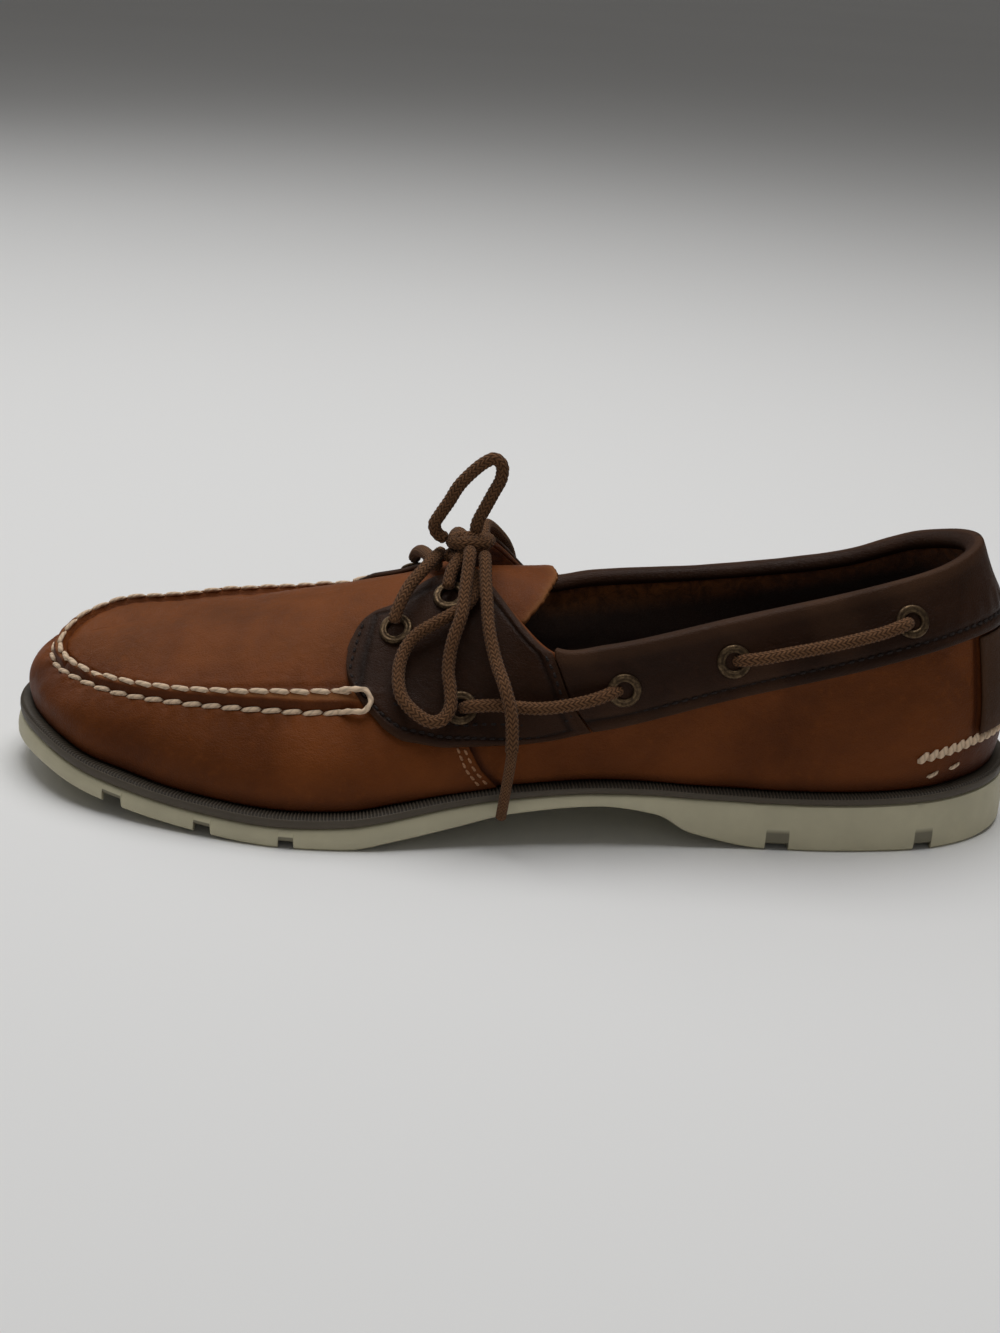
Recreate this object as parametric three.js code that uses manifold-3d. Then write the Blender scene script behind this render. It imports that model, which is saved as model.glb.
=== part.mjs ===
// A men's boat shoe for the left foot, standing empty on its sole.
// Millimetres, +Z up. The toe points to -X, the heel to +X, and the outer side of the foot faces -Y.
// The origin is on the floor, under the middle of the shoe.
import * as THREE from "three";
import { mergeVertices } from "three/addons/utils/BufferGeometryUtils.js";
import Module from "manifold-3d";

// ---------------------------------------------------------------- driving dimensions
const LENGTH = 306; // sole, heel to toe, at its upper edge
const SIDE_SHIFT = 1.6; // moves the foot's long axis so that the shoe is centred across
const GAP = 0.3; // between pieces that touch

const RUBBER_FLARE = 1; // how far the sole's lower edge stands out past its upper edge
const RUBBER_CHAMFER = 0.8;
const CORE_INSET = 11; // raised core of the sole inside the welt
const CHANNEL_DEPTH = 2.7;
const WELT_LEDGE = 3.4; // welt showing outside the upper
const WELT_ROUND = 0.7;
const WELT_BELLY = 0.3; // how far the welt's side swells past its edges

const WALL = 2; // upper leather
const MARGIN = 7; // upper leather turned in under the foot
const RIDGE_HEIGHT = 2.6; // rolled seam round the plug of the toe
const RIDGE_RISE = 0.48; // its middle and half of its width, as shares of the section
const RIDGE_HALF = 0.06;
const RIDGE_START = 8.6; // table rows over which it fades in, ahead of the eyestays
const RIDGE_FULL = 9.1;
const INSOLE_THICKNESS = 3;
const INSOLE_CHAMFER = 1;
const INSOLE_PLAY = 0.8; // between the insole and the upper's wall
const TRIM = 1.3; // brown trim leather
const TRIM_SEAT = 0.4; // its underside above the upper
const CUT_ABOVE = 3.9; // reach of the form that cuts an eyestay's outline, above and below the upper's face
const CUT_BELOW = 1.3;
const TRIM_SPLIT = 0.05; // table rows between the collar trim and an eyestay
const TONGUE_THICKNESS = 2;

const EYELET_RADIUS = 5;
const EYELET_HOLE = 2.6;
const EYELET_HEIGHT = 1;
const EYELET_SIDES = 12;
// Section of an eyelet: radius past its hole and height, as shares of the flange's width and height.
const EYELET_SECTION = [[0, 0], [1, 0], [0.83, 0.7], [0.5, 1], [0, 0.6], [0, 0]];
const LACE = 4.2; // diameter of the round braided lace
const LACE_SIDES = 8;
const LACE_STEP = 2.6 * LACE;
const SIDE_LACE_SPANS = 4;
const AGLET = 3.2;
const LACE_BOW = 0.08; // how far the front side lace bows up the section, in rises
const KNOT = { x: -17.3, y: -2.5, z: 77.6, wide: 5.4, deep: 4.8, high: 4 }; // centre and half sizes
const KNOT_SIDES = 12;
const KNOT_BANDS = 8;

// Sole outline: share of the length from the heel, and half widths on the outer and the inner side.
const OUTLINE = [
  { at: 0, outer: 0, inner: 0 },
  { at: 0.02, outer: 18.5, inner: 18 },
  { at: 0.08, outer: 32.8, inner: 32.2 },
  { at: 0.17, outer: 39, inner: 38 },
  { at: 0.3, outer: 40.5, inner: 34.5 },
  { at: 0.42, outer: 43.3, inner: 30.5 },
  { at: 0.485, outer: 45.5, inner: 31.3 },
  { at: 0.55, outer: 48.3, inner: 35 },
  { at: 0.6, outer: 51.3, inner: 39.5 },
  { at: 0.64, outer: 53.4, inner: 44 },
  { at: 0.72, outer: 53.6, inner: 50 },
  { at: 0.8, outer: 47.8, inner: 50.5 },
  { at: 0.88, outer: 38.2, inner: 47 },
  { at: 0.94, outer: 27, inner: 39.6 },
  { at: 0.985, outer: 9.4, inner: 25.4 },
  { at: 1, outer: -8, inner: 8 },
];

// Shoulder of each section: the lower edge of the collar trim, then the plug's seam round the toe.
const SHOULDER = [
  { at: 0.026, outer: 0, inner: 0, outerZ: 64, innerZ: 64 },
  { at: 0.037, outer: 12, inner: 12, outerZ: 64, innerZ: 64 },
  { at: 0.09, outer: 26, inner: 26, outerZ: 62, innerZ: 62 },
  { at: 0.17, outer: 32.8, inner: 33.5, outerZ: 56, innerZ: 55 },
  { at: 0.3, outer: 36.5, inner: 34, outerZ: 46, innerZ: 45 },
  { at: 0.42, outer: 39.3, inner: 33.5, outerZ: 35.5, innerZ: 36 },
  { at: 0.485, outer: 40.5, inner: 34, outerZ: 33, innerZ: 35 },
  { at: 0.55, outer: 40, inner: 35.2, outerZ: 35, innerZ: 40 },
  { at: 0.6, outer: 37, inner: 35.5, outerZ: 38.5, innerZ: 45.5 },
  { at: 0.638, outer: 34.3, inner: 35, outerZ: 41, innerZ: 49 },
  { at: 0.71, outer: 33.3, inner: 34.3, outerZ: 40, innerZ: 48.2 },
  { at: 0.782, outer: 30.8, inner: 33, outerZ: 38, innerZ: 46.7 },
  { at: 0.852, outer: 25.2, inner: 29.8, outerZ: 36, innerZ: 44.8 },
  { at: 0.907, outer: 17, inner: 23.8, outerZ: 34.8, innerZ: 44 },
  { at: 0.945, outer: 5.5, inner: 15, outerZ: 34.8, innerZ: 40 },
  { at: 0.957, outer: -5.5, inner: 5.5, outerZ: 36, innerZ: 36 },
];

// Upper end of each section: the collar's edge, the throat's edge, then the spine of the closed toe.
const EDGE = [
  { at: 0.058, outer: 0, inner: 0, outerZ: 86, innerZ: 86 },
  { at: 0.064, outer: 8, inner: 8, outerZ: 85.3, innerZ: 85 },
  { at: 0.1, outer: 18.3, inner: 19, outerZ: 81.8, innerZ: 80.7 },
  { at: 0.17, outer: 25, inner: 28, outerZ: 76.2, innerZ: 70.4 },
  { at: 0.3, outer: 32.6, inner: 34, outerZ: 67.4, innerZ: 61.8 },
  { at: 0.42, outer: 36.6, inner: 36, outerZ: 58.4, innerZ: 57.4 },
  { at: 0.47, outer: 36.2, inner: 35.5, outerZ: 56.6, innerZ: 55 },
  { at: 0.542, outer: 9, inner: 12.5, outerZ: 70, innerZ: 75.8 },
  { at: 0.575, outer: -2, inner: 2, outerZ: 70.5, innerZ: 70.5 },
  { at: 0.615, outer: -3, inner: 3, outerZ: 64.8, innerZ: 64.8 },
  { at: 0.68, outer: -4.5, inner: 4.5, outerZ: 59.3, innerZ: 59.3 },
  { at: 0.75, outer: -5, inner: 5, outerZ: 54, innerZ: 54 },
  { at: 0.815, outer: -6, inner: 6, outerZ: 49.5, innerZ: 49.5 },
  { at: 0.865, outer: -6.5, inner: 6.5, outerZ: 46, innerZ: 46 },
  { at: 0.905, outer: -6.5, inner: 6.5, outerZ: 43, innerZ: 43 },
  { at: 0.928, outer: -6, inner: 6, outerZ: 41, innerZ: 41 },
];
const SPINE_ROW = 8; // from this row on, the two sides meet on the spine

// Slopes of a section in degrees, 90 being upright: at the foot, below the shoulder, above it on the outer
// and on the inner side, and at the upper end.
const SLOPES = [
  { at: 0, foot: 104, wall: 74, outer: 74, inner: 74, end: 66 },
  { at: 0.1, foot: 100, wall: 80, outer: 80, inner: 80, end: 72 },
  { at: 0.3, foot: 95, wall: 88, outer: 88, inner: 88, end: 84 },
  { at: 0.45, foot: 95, wall: 84, outer: 84, inner: 84, end: 80 },
  { at: 0.55, foot: 98, wall: 66, outer: 60, inner: 58, end: 30 },
  { at: 0.62, foot: 100, wall: 50, outer: 42, inner: 28, end: 4 },
  { at: 0.72, foot: 101, wall: 44, outer: 34, inner: 20, end: 0 },
  { at: 0.86, foot: 103, wall: 36, outer: 26, inner: 12, end: 0 },
  { at: 1, foot: 108, wall: 15, outer: 30, inner: 30, end: 0 },
];

// Side profile of the sole: underside above the floor, upper edge of the rubber, and the welt's thickness.
const PROFILE = [
  { at: 0, under: 1, rubber: 17, welt: 4.2 },
  { at: 0.05, under: 0, rubber: 15.9, welt: 3.6 },
  { at: 0.17, under: 0, rubber: 14.5, welt: 2.6 },
  { at: 0.25, under: 0, rubber: 14.3, welt: 2.6 },
  { at: 0.33, under: 4.6, rubber: 15.2, welt: 2.6 },
  { at: 0.365, under: 10.4, rubber: 16, welt: 2.6 },
  { at: 0.42, under: 12.8, rubber: 16.4, welt: 2.6 },
  { at: 0.5, under: 10.7, rubber: 14.9, welt: 2.8 },
  { at: 0.56, under: 6.3, rubber: 12.3, welt: 3 },
  { at: 0.62, under: 2.3, rubber: 8.6, welt: 3.4 },
  { at: 0.66, under: 0, rubber: 6.6, welt: 3.6 },
  { at: 0.73, under: 0, rubber: 5.7, welt: 3.8 },
  { at: 0.8, under: 1.1, rubber: 6.6, welt: 3.8 },
  { at: 0.9, under: 4.3, rubber: 10, welt: 3.9 },
  { at: 1, under: 9.5, rubber: 16.2, welt: 4.2 },
];

// Channels across the tread: place along the length and width of each.
const CHANNELS = [
  { at: 0.1, width: 5.6 },
  { at: 0.245, width: 7 },
  { at: 0.715, width: 4.4 },
  { at: 0.795, width: 5 },
  { at: 0.885, width: 6 },
];

// Tongue: half width, height of its middle and how far its sides drop.
const TONGUE = [
  { at: 0.468, half: 18, height: 69, drop: 7 },
  { at: 0.53, half: 19, height: 68.4, drop: 8.5 },
  { at: 0.575, half: 17, height: 65.6, drop: 9 },
  { at: 0.615, half: 15, height: 61, drop: 7.5 },
  { at: 0.66, half: 14, height: 56.4, drop: 5.5 },
];
const TONGUE_CENTRE = 2;
const TONGUE_TILT = 0.1;
const TONGUE_ROUND = 0.03; // the corners of its end lie this much further forward
const TONGUE_STEPS = { along: 10, across: 8 };

// Eyestay: the section heights between which it lies, from its rear seam to its rounded front.
const EYESTAY = [
  { row: 5.2, low: 0.5, high: 1 },
  { row: 5.8, low: 0.46, high: 1 },
  { row: 6.4, low: 0.405, high: 1 },
  { row: 7, low: 0.355, high: 0.99 },
  { row: 7.5, low: 0.325, high: 0.93 },
  { row: 8.1, low: 0.325, high: 0.9 },
  { row: 8.6, low: 0.355, high: 0.86 },
  { row: 9, low: 0.41, high: 0.82 },
  { row: 9.3, low: 0.5, high: 0.79 },
  { row: 9.45, low: 0.58, high: 0.73 },
];
const EYESTAY_SLANT = 1.7; // its rear seam leans forward by this many table rows at the collar's edge
const EYESTAY_STEPS = 6; // across its outline
const EYESTAY_MESH = { firstRow: 5, lastRow: 10, lowest: 0.3 }; // part of the upper's mesh that it follows

// Eyelets from the toe to the heel: where each lies on its section, outside and inside.
const EYELETS = [
  { outer: { row: 8.8, rise: 0.713 }, inner: { row: 8.45, rise: 0.73 } },
  { outer: { row: 7.61, rise: 0.85 }, inner: { row: 7.45, rise: 0.83 } },
  { outer: { row: 7.15, rise: 0.537 }, inner: { row: 7.15, rise: 0.56 } },
  { outer: { row: 4.86, rise: 0.75 }, inner: { row: 4.86, rise: 0.75 } },
  { outer: { row: 4.03, rise: 0.762 }, inner: { row: 4.03, rise: 0.762 } },
  { outer: { row: 2.57, rise: 0.738 }, inner: { row: 2.57, rise: 0.738 } },
];

// Lace routes, from where each leaves an eyelet or the knot.
const ROUTES = {
  crossOuter: [
    [-38.3, -21.9, 59.1], [-36.9, -19.6, 63.5], [-34, -15.5, 68.8], [-29.6, -10, 73],
    [-26.8, -3.6, 74.2], [-25, 2.4, 74.2],
  ],
  crossInner: [
    [-33.5, 25.2, 64.2], [-32.6, 20.5, 67.5], [-31, 13, 70.6], [-29, 5.5, 71.7],
    [-27, -0.5, 71.6], [-25.8, -3.4, 71],
  ],
  riseOuter: [[-22.9, -16.3, 68.7], [-22, -12.5, 72.5], [-20, -8, 75.4], [-18, -4.5, 77]],
  riseInner: [[-22, 20.4, 72], [-20.6, 14.5, 76.4], [-19.2, 7, 78.2], [-17.8, 1, 78]],
  loopHigh: [
    [-15.4, -3.2, 82], [-14.9, -3.3, 85.5], [-13, -3.6, 90], [-10.7, -3.8, 95], [-8.7, -3.9, 99.6],
    [-8.8, -3.9, 103.6], [-11, -3.8, 105.3], [-14, -3.6, 103.8], [-17.6, -3.2, 100.4], [-21, -2.8, 96.2],
    [-23.6, -2.4, 91.3], [-26, -2, 87.2], [-27.6, -1.7, 83.8], [-26.6, -1.6, 81], [-23.5, -1.8, 79.4],
  ],
  loopLow: [
    [-16.8, -8.6, 78.6], [-16.8, -12.6, 78.2], [-17.2, -17, 74.8], [-17.8, -22, 70], [-18.5, -27.2, 64.6],
    [-20.2, -30, 59.7], [-21.3, -32, 54.9], [-21.6, -34.8, 49.6], [-20.8, -37.6, 45.6], [-20.6, -40.8, 41.2],
    [-22.6, -42.8, 38.3], [-26, -43.3, 37.6], [-31, -41.6, 39.8], [-34.7, -38.4, 43.1], [-35.9, -33.4, 48.4],
    [-34.6, -28.8, 53.3], [-31.5, -26.2, 57.3], [-27, -25.2, 60.4], [-22, -24, 63.2], [-17.2, -21.4, 65.8],
    [-14.8, -16.9, 68.6], [-15, -12.8, 70.8], [-16, -9.6, 72.8],
  ],
  endOuter: [
    [-12.4, -8.2, 77.4], [-12.2, -13.6, 76.2], [-12, -18.8, 72.9], [-11.3, -24.4, 67.9], [-10.5, -30, 62],
    [-8.2, -36.6, 54.6], [-5.4, -43.6, 49.2], [-3.4, -47.2, 43.2], [-2.7, -49.2, 36.8], [-2.6, -49.8, 31.2],
  ],
  endInner: [
    [-12.7, 2.4, 78.9], [-12.6, 6, 79.9], [-12.4, 10.6, 80.4], [-11, 16.6, 78.8], [-8.2, 23, 74.8],
    [-5, 29.6, 69.2], [-2.8, 36.4, 62], [-1.8, 42.6, 54.2], [-2, 47, 46], [-2.4, 48.2, 38],
  ],
  agletOuter: [[-2.6, -49.9, 30.8], [-3.2, -50.1, 24], [-4.6, -50, 10.8]],
  agletInner: [[-2.4, 48.3, 37.6], [-2.8, 48.6, 30], [-3.6, 48.4, 17.6]],
};

// Heights of a section at which the upper's mesh has a row.
const RISES = [0, 0.09, 0.2, 0.31, 0.4, 0.44, RIDGE_RISE, 0.52, 0.6, 0.72, 0.86, 1];
const ROW_STEPS = 2; // mesh columns from one table row to the next

// ---------------------------------------------------------------- tables and loops
const TAU = 2 * Math.PI;
const UP = new THREE.Vector3(0, 0, 1);
const ROW_COUNT = OUTLINE.length - 1;
const COLUMNS = 2 * ROW_COUNT * ROW_STEPS;

const place = (at, y, z) => new THREE.Vector3(LENGTH / 2 - at * LENGTH, y + SIDE_SHIFT, z);
const shareAt = (x) => THREE.MathUtils.clamp(0.5 - x / LENGTH, 0, 1);
const mix = (a, b, share) => a + (b - a) * share;
const shifted = (point, ...moves) =>
  moves.reduce((sum, [direction, distance]) => sum.addScaledVector(direction, distance), point.clone());

// One column of a table as a smooth function of `at` that never overshoots its rows.
function column(table, name) {
  const x = table.map((row) => row.at);
  const y = table.map((row) => row[name]);
  const secant = x.slice(1).map((right, i) => (y[i + 1] - y[i]) / (right - x[i]));
  const slope = x.map((_, i) => {
    if (i === 0 || i === x.length - 1 || secant[i - 1] * secant[i] <= 0) return 0;
    return (2 * secant[i - 1] * secant[i]) / (secant[i - 1] + secant[i]);
  });
  return (at) => {
    const i = THREE.MathUtils.clamp(x.findIndex((right) => right > at) - 1, 0, x.length - 2);
    const k = at >= x[x.length - 1] ? x.length - 2 : i;
    const span = x[k + 1] - x[k];
    const s = THREE.MathUtils.clamp((at - x[k]) / span, 0, 1);
    const blend = s * s * (3 - 2 * s);
    const start = s * (1 - s) * (1 - s) * slope[k];
    const end = s * s * (s - 1) * slope[k + 1];
    return mix(y[k], y[k + 1], blend) + span * (start + end);
  };
}

const under = column(PROFILE, "under");
const rubber = column(PROFILE, "rubber");
const welt = column(PROFILE, "welt");
const slopeNames = ["foot", "wall", "outer", "inner", "end"];
const slopeOf = Object.fromEntries(slopeNames.map((name) => [name, column(SLOPES, name)]));

// A closed curve round the shoe: heel, outer side, toe, inner side. Its parameter is the lap, 0 to 1.
function loopOf(rows) {
  const outer = rows.map((row) => place(row.at, -row.outer, row.outerZ ?? 0));
  const inner = rows.slice(1, -1).map((row) => place(row.at, row.inner, row.innerZ ?? 0));
  return new THREE.CatmullRomCurve3([...outer, ...inner.reverse()], true, "centripetal");
}

const outlineLoop = loopOf(OUTLINE);
const shoulderLoop = loopOf(SHOULDER);
const edgeLoop = loopOf(EDGE);

const wrapLap = (lap) => lap - Math.floor(lap);
const lapAt = (row, side) => wrapLap((side * row) / (2 * ROW_COUNT)); // side is 1 outside, -1 inside
const rowAt = (lap) => 2 * ROW_COUNT * Math.min(wrapLap(lap), 1 - wrapLap(lap));

function inward(loop, lap) {
  const step = 1e-3;
  const along = loop.getPoint(wrapLap(lap + step)).sub(loop.getPoint(wrapLap(lap - step)));
  return new THREE.Vector3(along.y, -along.x, 0).normalize();
}

// A point of the sole's outline moved in by `inset`, at a height worked out from its place.
function onSole(lap, inset, heightAt) {
  const point = shifted(outlineLoop.getPoint(wrapLap(lap)), [inward(outlineLoop, lap), inset]);
  return point.setZ(heightAt(shareAt(point.x)));
}

const weltFloor = (at) => rubber(at) + GAP;
const weltTop = (at) => weltFloor(at) + welt(at);
const upperFloor = (at) => weltTop(at) + GAP;

// ---------------------------------------------------------------- the upper's surface
function endPoint(lap) {
  const here = edgeLoop.getPoint(wrapLap(lap));
  if (rowAt(lap) < SPINE_ROW) return here;
  return here.add(edgeLoop.getPoint(wrapLap(-lap))).multiplyScalar(0.5);
}

function bezier(a, b, c, d, s) {
  const r = 1 - s;
  return new THREE.Vector3()
    .addScaledVector(a, r * r * r)
    .addScaledVector(b, 3 * r * r * s)
    .addScaledVector(c, 3 * r * s * s)
    .addScaledVector(d, s * s * s);
}

// Each section is two curves: from the foot up to the shoulder, and from there to its upper end.
const HANDLE = 0.38; // curve handles, as a share of the distance they span
const TOE_FULLNESS = 0.1; // added to the handles of the toe's wall
function lastPoint(lap, rise) {
  const foot = onSole(lap, WELT_LEDGE, upperFloor);
  const shoulder = shoulderLoop.getPoint(wrapLap(lap));
  const end = endPoint(lap);
  const at = shareAt(outlineLoop.getPoint(wrapLap(lap)).x);
  const leaning = (loop, name) => {
    const angle = THREE.MathUtils.degToRad(slopeOf[name](at));
    return inward(loop, lap).multiplyScalar(Math.cos(angle)).addScaledVector(UP, Math.sin(angle));
  };
  const fuller = TOE_FULLNESS * THREE.MathUtils.smoothstep(rowAt(lap), SPINE_ROW, ROW_COUNT - 1);
  const low = (HANDLE + fuller) * foot.distanceTo(shoulder);
  const high = HANDLE * shoulder.distanceTo(end);
  if (rise < 0.5) {
    const leave = shifted(foot, [leaning(outlineLoop, "foot"), low]);
    const reach = shifted(shoulder, [leaning(shoulderLoop, "wall"), -low]);
    return bezier(foot, leave, reach, shoulder, 2 * rise);
  }
  const leave = shifted(shoulder, [leaning(shoulderLoop, wrapLap(lap) < 0.5 ? "outer" : "inner"), high]);
  const reach = shifted(end, [leaning(shoulderLoop, "end"), -high]);
  return bezier(shoulder, leave, reach, end, 2 * rise - 1);
}

function sideNormal(lap, rise) {
  const step = 1e-3;
  const around = lastPoint(lap + step, rise).sub(lastPoint(lap - step, rise));
  const upwards = lastPoint(lap, rise + step).sub(lastPoint(lap, rise - step));
  return upwards.cross(around).normalize();
}

function normalAt(lap, rise) {
  const normal = sideNormal(lap, rise);
  if (rise < 1 || rowAt(lap) < SPINE_ROW) return normal;
  return normal.add(sideNormal(-lap, rise)).normalize();
}

// The rolled ridge runs round the toe and fades out in front of the eyestays.
function ridge(lap, rise) {
  const share = THREE.MathUtils.smoothstep(rowAt(lap), RIDGE_START, RIDGE_FULL);
  const across = Math.min(Math.abs(rise - RIDGE_RISE) / RIDGE_HALF, 1);
  return RIDGE_HEIGHT * share * (1 - across * across);
}

// A point at a height above the upper's outer face; negative heights are inside the leather.
const onUpper = (lap, rise, height) =>
  shifted(lastPoint(lap, rise), [normalAt(lap, rise), height + ridge(lap, rise)]);
const inUpper = (lap, rise, depth) => shifted(lastPoint(lap, rise), [normalAt(lap, rise), -depth]);

// ---------------------------------------------------------------- meshes
const laps = Array.from({ length: COLUMNS }, (_, i) => i / COLUMNS);
const facing = (column) => (COLUMNS - column) % COLUMNS; // the column across the shoe
const steps = (count) => Array.from({ length: count + 1 }, (_, i) => i / count);

// A closed geometry of loose triangles, turned to face outwards.
function solidOf(triangles) {
  const positions = triangles.flat().flatMap((point) => [point.x, point.y, point.z]);
  const loose = new THREE.BufferGeometry();
  loose.setAttribute("position", new THREE.Float32BufferAttribute(positions, 3));
  const geometry = mergeVertices(loose, 1e-3);
  const index = geometry.index.array;
  const kept = [];
  for (let i = 0; i < index.length; i += 3) {
    const [a, b, c] = index.slice(i, i + 3);
    if (a !== b && b !== c && c !== a) kept.push(a, b, c);
  }
  geometry.setIndex(volumeOf(geometry, kept) < 0 ? kept.reverse() : kept);
  return geometry;
}

function volumeOf(geometry, index) {
  const [a, b, c] = [new THREE.Vector3(), new THREE.Vector3(), new THREE.Vector3()];
  const points = geometry.getAttribute("position");
  let volume = 0;
  for (let i = 0; i < index.length; i += 3) {
    a.fromBufferAttribute(points, index[i]);
    b.fromBufferAttribute(points, index[i + 1]);
    c.fromBufferAttribute(points, index[i + 2]);
    volume += a.dot(b.cross(c)) / 6;
  }
  return volume;
}

const quad = (a, b, c, d) => [[a, b, c], [a, c, d]];

// Triangles between neighbouring lines of points; the lines close on themselves if asked to.
function skin(lines, closed = false) {
  const faces = [];
  for (let i = 0; i + 1 < lines.length; i++) {
    const [low, high] = [lines[i], lines[i + 1]];
    const count = closed ? low.length : low.length - 1;
    for (let k = 0; k < count; k++) {
      const next = (k + 1) % low.length;
      faces.push(...quad(low[k], low[next], high[next], high[k]));
    }
  }
  return faces;
}

// Closes a ring round the shoe with strips from its outer side to its inner side.
function ladder(ring) {
  const faces = [];
  for (let k = 0; k < COLUMNS / 2; k++) {
    faces.push(...quad(ring[k], ring[k + 1], ring[facing(k + 1)], ring[facing(k)]));
  }
  return faces;
}

const turned = ([a, b, c]) => [a, c, b];

// A closed plate whose wall passes through the rings, from the top one to the bottom one.
function plate(rings) {
  const bottom = ladder(rings.at(-1)).map(turned);
  return solidOf([...ladder(rings[0]), ...skin(rings, true).map(turned), ...bottom]);
}

// A thin piece between two grids of points that have the same size.
function sheet(face, back) {
  const firstLine = [face[0], back[0]];
  const lastLine = [back.at(-1), face.at(-1)];
  const firstColumn = [back.map((line) => line[0]), face.map((line) => line[0])];
  const lastColumn = [face.map((line) => line.at(-1)), back.map((line) => line.at(-1))];
  return solidOf([
    ...skin(face).map(turned),
    ...skin(back),
    ...skin(firstLine),
    ...skin(lastLine),
    ...skin(firstColumn),
    ...skin(lastColumn),
  ]);
}

// ---------------------------------------------------------------- sole, welt, insole, upper
const wasm = await Module();
wasm.setup();

function manifoldOf(geometry) {
  const plain = new THREE.BufferGeometry();
  plain.setAttribute("position", geometry.getAttribute("position"));
  plain.setIndex(geometry.index);
  const merged = mergeVertices(plain, 1e-4);
  return new wasm.Manifold(
    new wasm.Mesh({
      numProp: 3,
      vertProperties: new Float32Array(merged.getAttribute("position").array),
      triVerts: new Uint32Array(merged.index.array),
    }),
  );
}

function geometryOf(manifold) {
  const mesh = manifold.getMesh();
  const geometry = new THREE.BufferGeometry();
  geometry.setAttribute("position", new THREE.Float32BufferAttribute(mesh.vertProperties, 3));
  geometry.setIndex(Array.from(mesh.triVerts));
  return geometry;
}

function outsole() {
  const ring = (inset, heightAt) => laps.map((lap) => onSole(lap, inset, heightAt));
  const body = manifoldOf(
    plate([
      ring(CORE_INSET + GAP, weltTop),
      ring(CORE_INSET + GAP, rubber),
      ring(0, rubber),
      ring(-RUBBER_FLARE, (at) => under(at) + RUBBER_CHAMFER),
      ring(-RUBBER_FLARE + RUBBER_CHAMFER, under),
    ]),
  );
  const cuts = CHANNELS.map(({ at, width }) => {
    const bar = new THREE.BoxGeometry(width, LENGTH, 2 * CHANNEL_DEPTH);
    bar.translate(LENGTH / 2 - at * LENGTH, 0, under(at));
    return manifoldOf(bar.deleteAttribute("normal").deleteAttribute("uv"));
  });
  return geometryOf(cuts.reduce((left, cut) => left.subtract(cut), body));
}

function weltRing() {
  const sections = [
    [CORE_INSET, weltFloor],
    [0, weltFloor],
    [-WELT_BELLY, (at) => mix(weltFloor(at), weltTop(at), 0.5)],
    [WELT_ROUND, weltTop],
    [CORE_INSET, weltTop],
    [CORE_INSET, weltFloor],
  ];
  const rings = sections.map(([inset, heightAt]) => laps.map((lap) => onSole(lap, inset, heightAt)));
  return solidOf(skin(rings, true));
}

function insole() {
  const ring = (inset, lift) => laps.map((lap) => onSole(lap, inset, (at) => upperFloor(at) + lift));
  const overMargin = WELT_LEDGE + WALL + INSOLE_PLAY;
  const insideMargin = WELT_LEDGE + MARGIN + GAP;
  return plate([
    ring(overMargin + INSOLE_CHAMFER, WALL + GAP + INSOLE_THICKNESS),
    ring(overMargin, WALL + GAP + INSOLE_THICKNESS - INSOLE_CHAMFER),
    ring(overMargin, WALL + GAP),
    ring(insideMargin, WALL + GAP),
    ring(insideMargin, 0),
  ]);
}

function upper() {
  const margin = (lift) => laps.map((lap) => onSole(lap, WELT_LEDGE + MARGIN, (at) => upperFloor(at) + lift));
  const corner = laps.map((lap) => onSole(lap, WELT_LEDGE + WALL, (at) => upperFloor(at) + WALL));
  const outside = [margin(0), ...RISES.map((rise) => laps.map((lap) => onUpper(lap, rise, 0)))];
  const raised = RISES.slice(1).map((rise) => laps.map((lap) => inUpper(lap, rise, WALL)));
  const inside = [margin(WALL), corner, ...raised];
  const open = (column) => Math.min(column, facing(column)) < SPINE_ROW * ROW_STEPS;
  const rim = laps.flatMap((_, k) => {
    const next = (k + 1) % COLUMNS;
    if (!open(k) && !open(next)) return [];
    return quad(outside.at(-1)[k], outside.at(-1)[next], inside.at(-1)[next], inside.at(-1)[k]);
  });
  const underside = skin([inside[0], outside[0]], true);
  return solidOf([...skin(outside, true), ...rim, ...skin(inside, true).map(turned), ...underside]);
}

// ---------------------------------------------------------------- tongue and trim
function tongue() {
  const height = column(TONGUE, "height");
  const half = column(TONGUE, "half");
  const drop = column(TONGUE, "drop");
  const front = TONGUE.at(-1).at;
  const grid = (lift) =>
    steps(TONGUE_STEPS.along).map((along) => {
      return steps(TONGUE_STEPS.across).map((across) => {
        const side = 2 * across - 1;
        const at = mix(TONGUE[0].at + TONGUE_ROUND * side * side, front, along);
        const y = TONGUE_CENTRE + side * half(at);
        return place(at, y, height(at) - drop(at) * side * side + TONGUE_TILT * side * half(at) + lift);
      });
    });
  return sheet(grid(0), grid(-TONGUE_THICKNESS));
}

// The collar trim's columns keep to the upper's mesh up to this table row, then slant to its end,
// which lies further forward higher up the section.
const TRIM_STRAIGHT = 5;
const seamRow = (rise) => EYESTAY[0].row + EYESTAY_SLANT * Math.max(rise - 0.5, 0);
function trimRow(column, rise) {
  if (column <= TRIM_STRAIGHT) return column;
  return mix(TRIM_STRAIGHT, seamRow(rise) - TRIM_SPLIT, column - TRIM_STRAIGHT);
}

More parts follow.
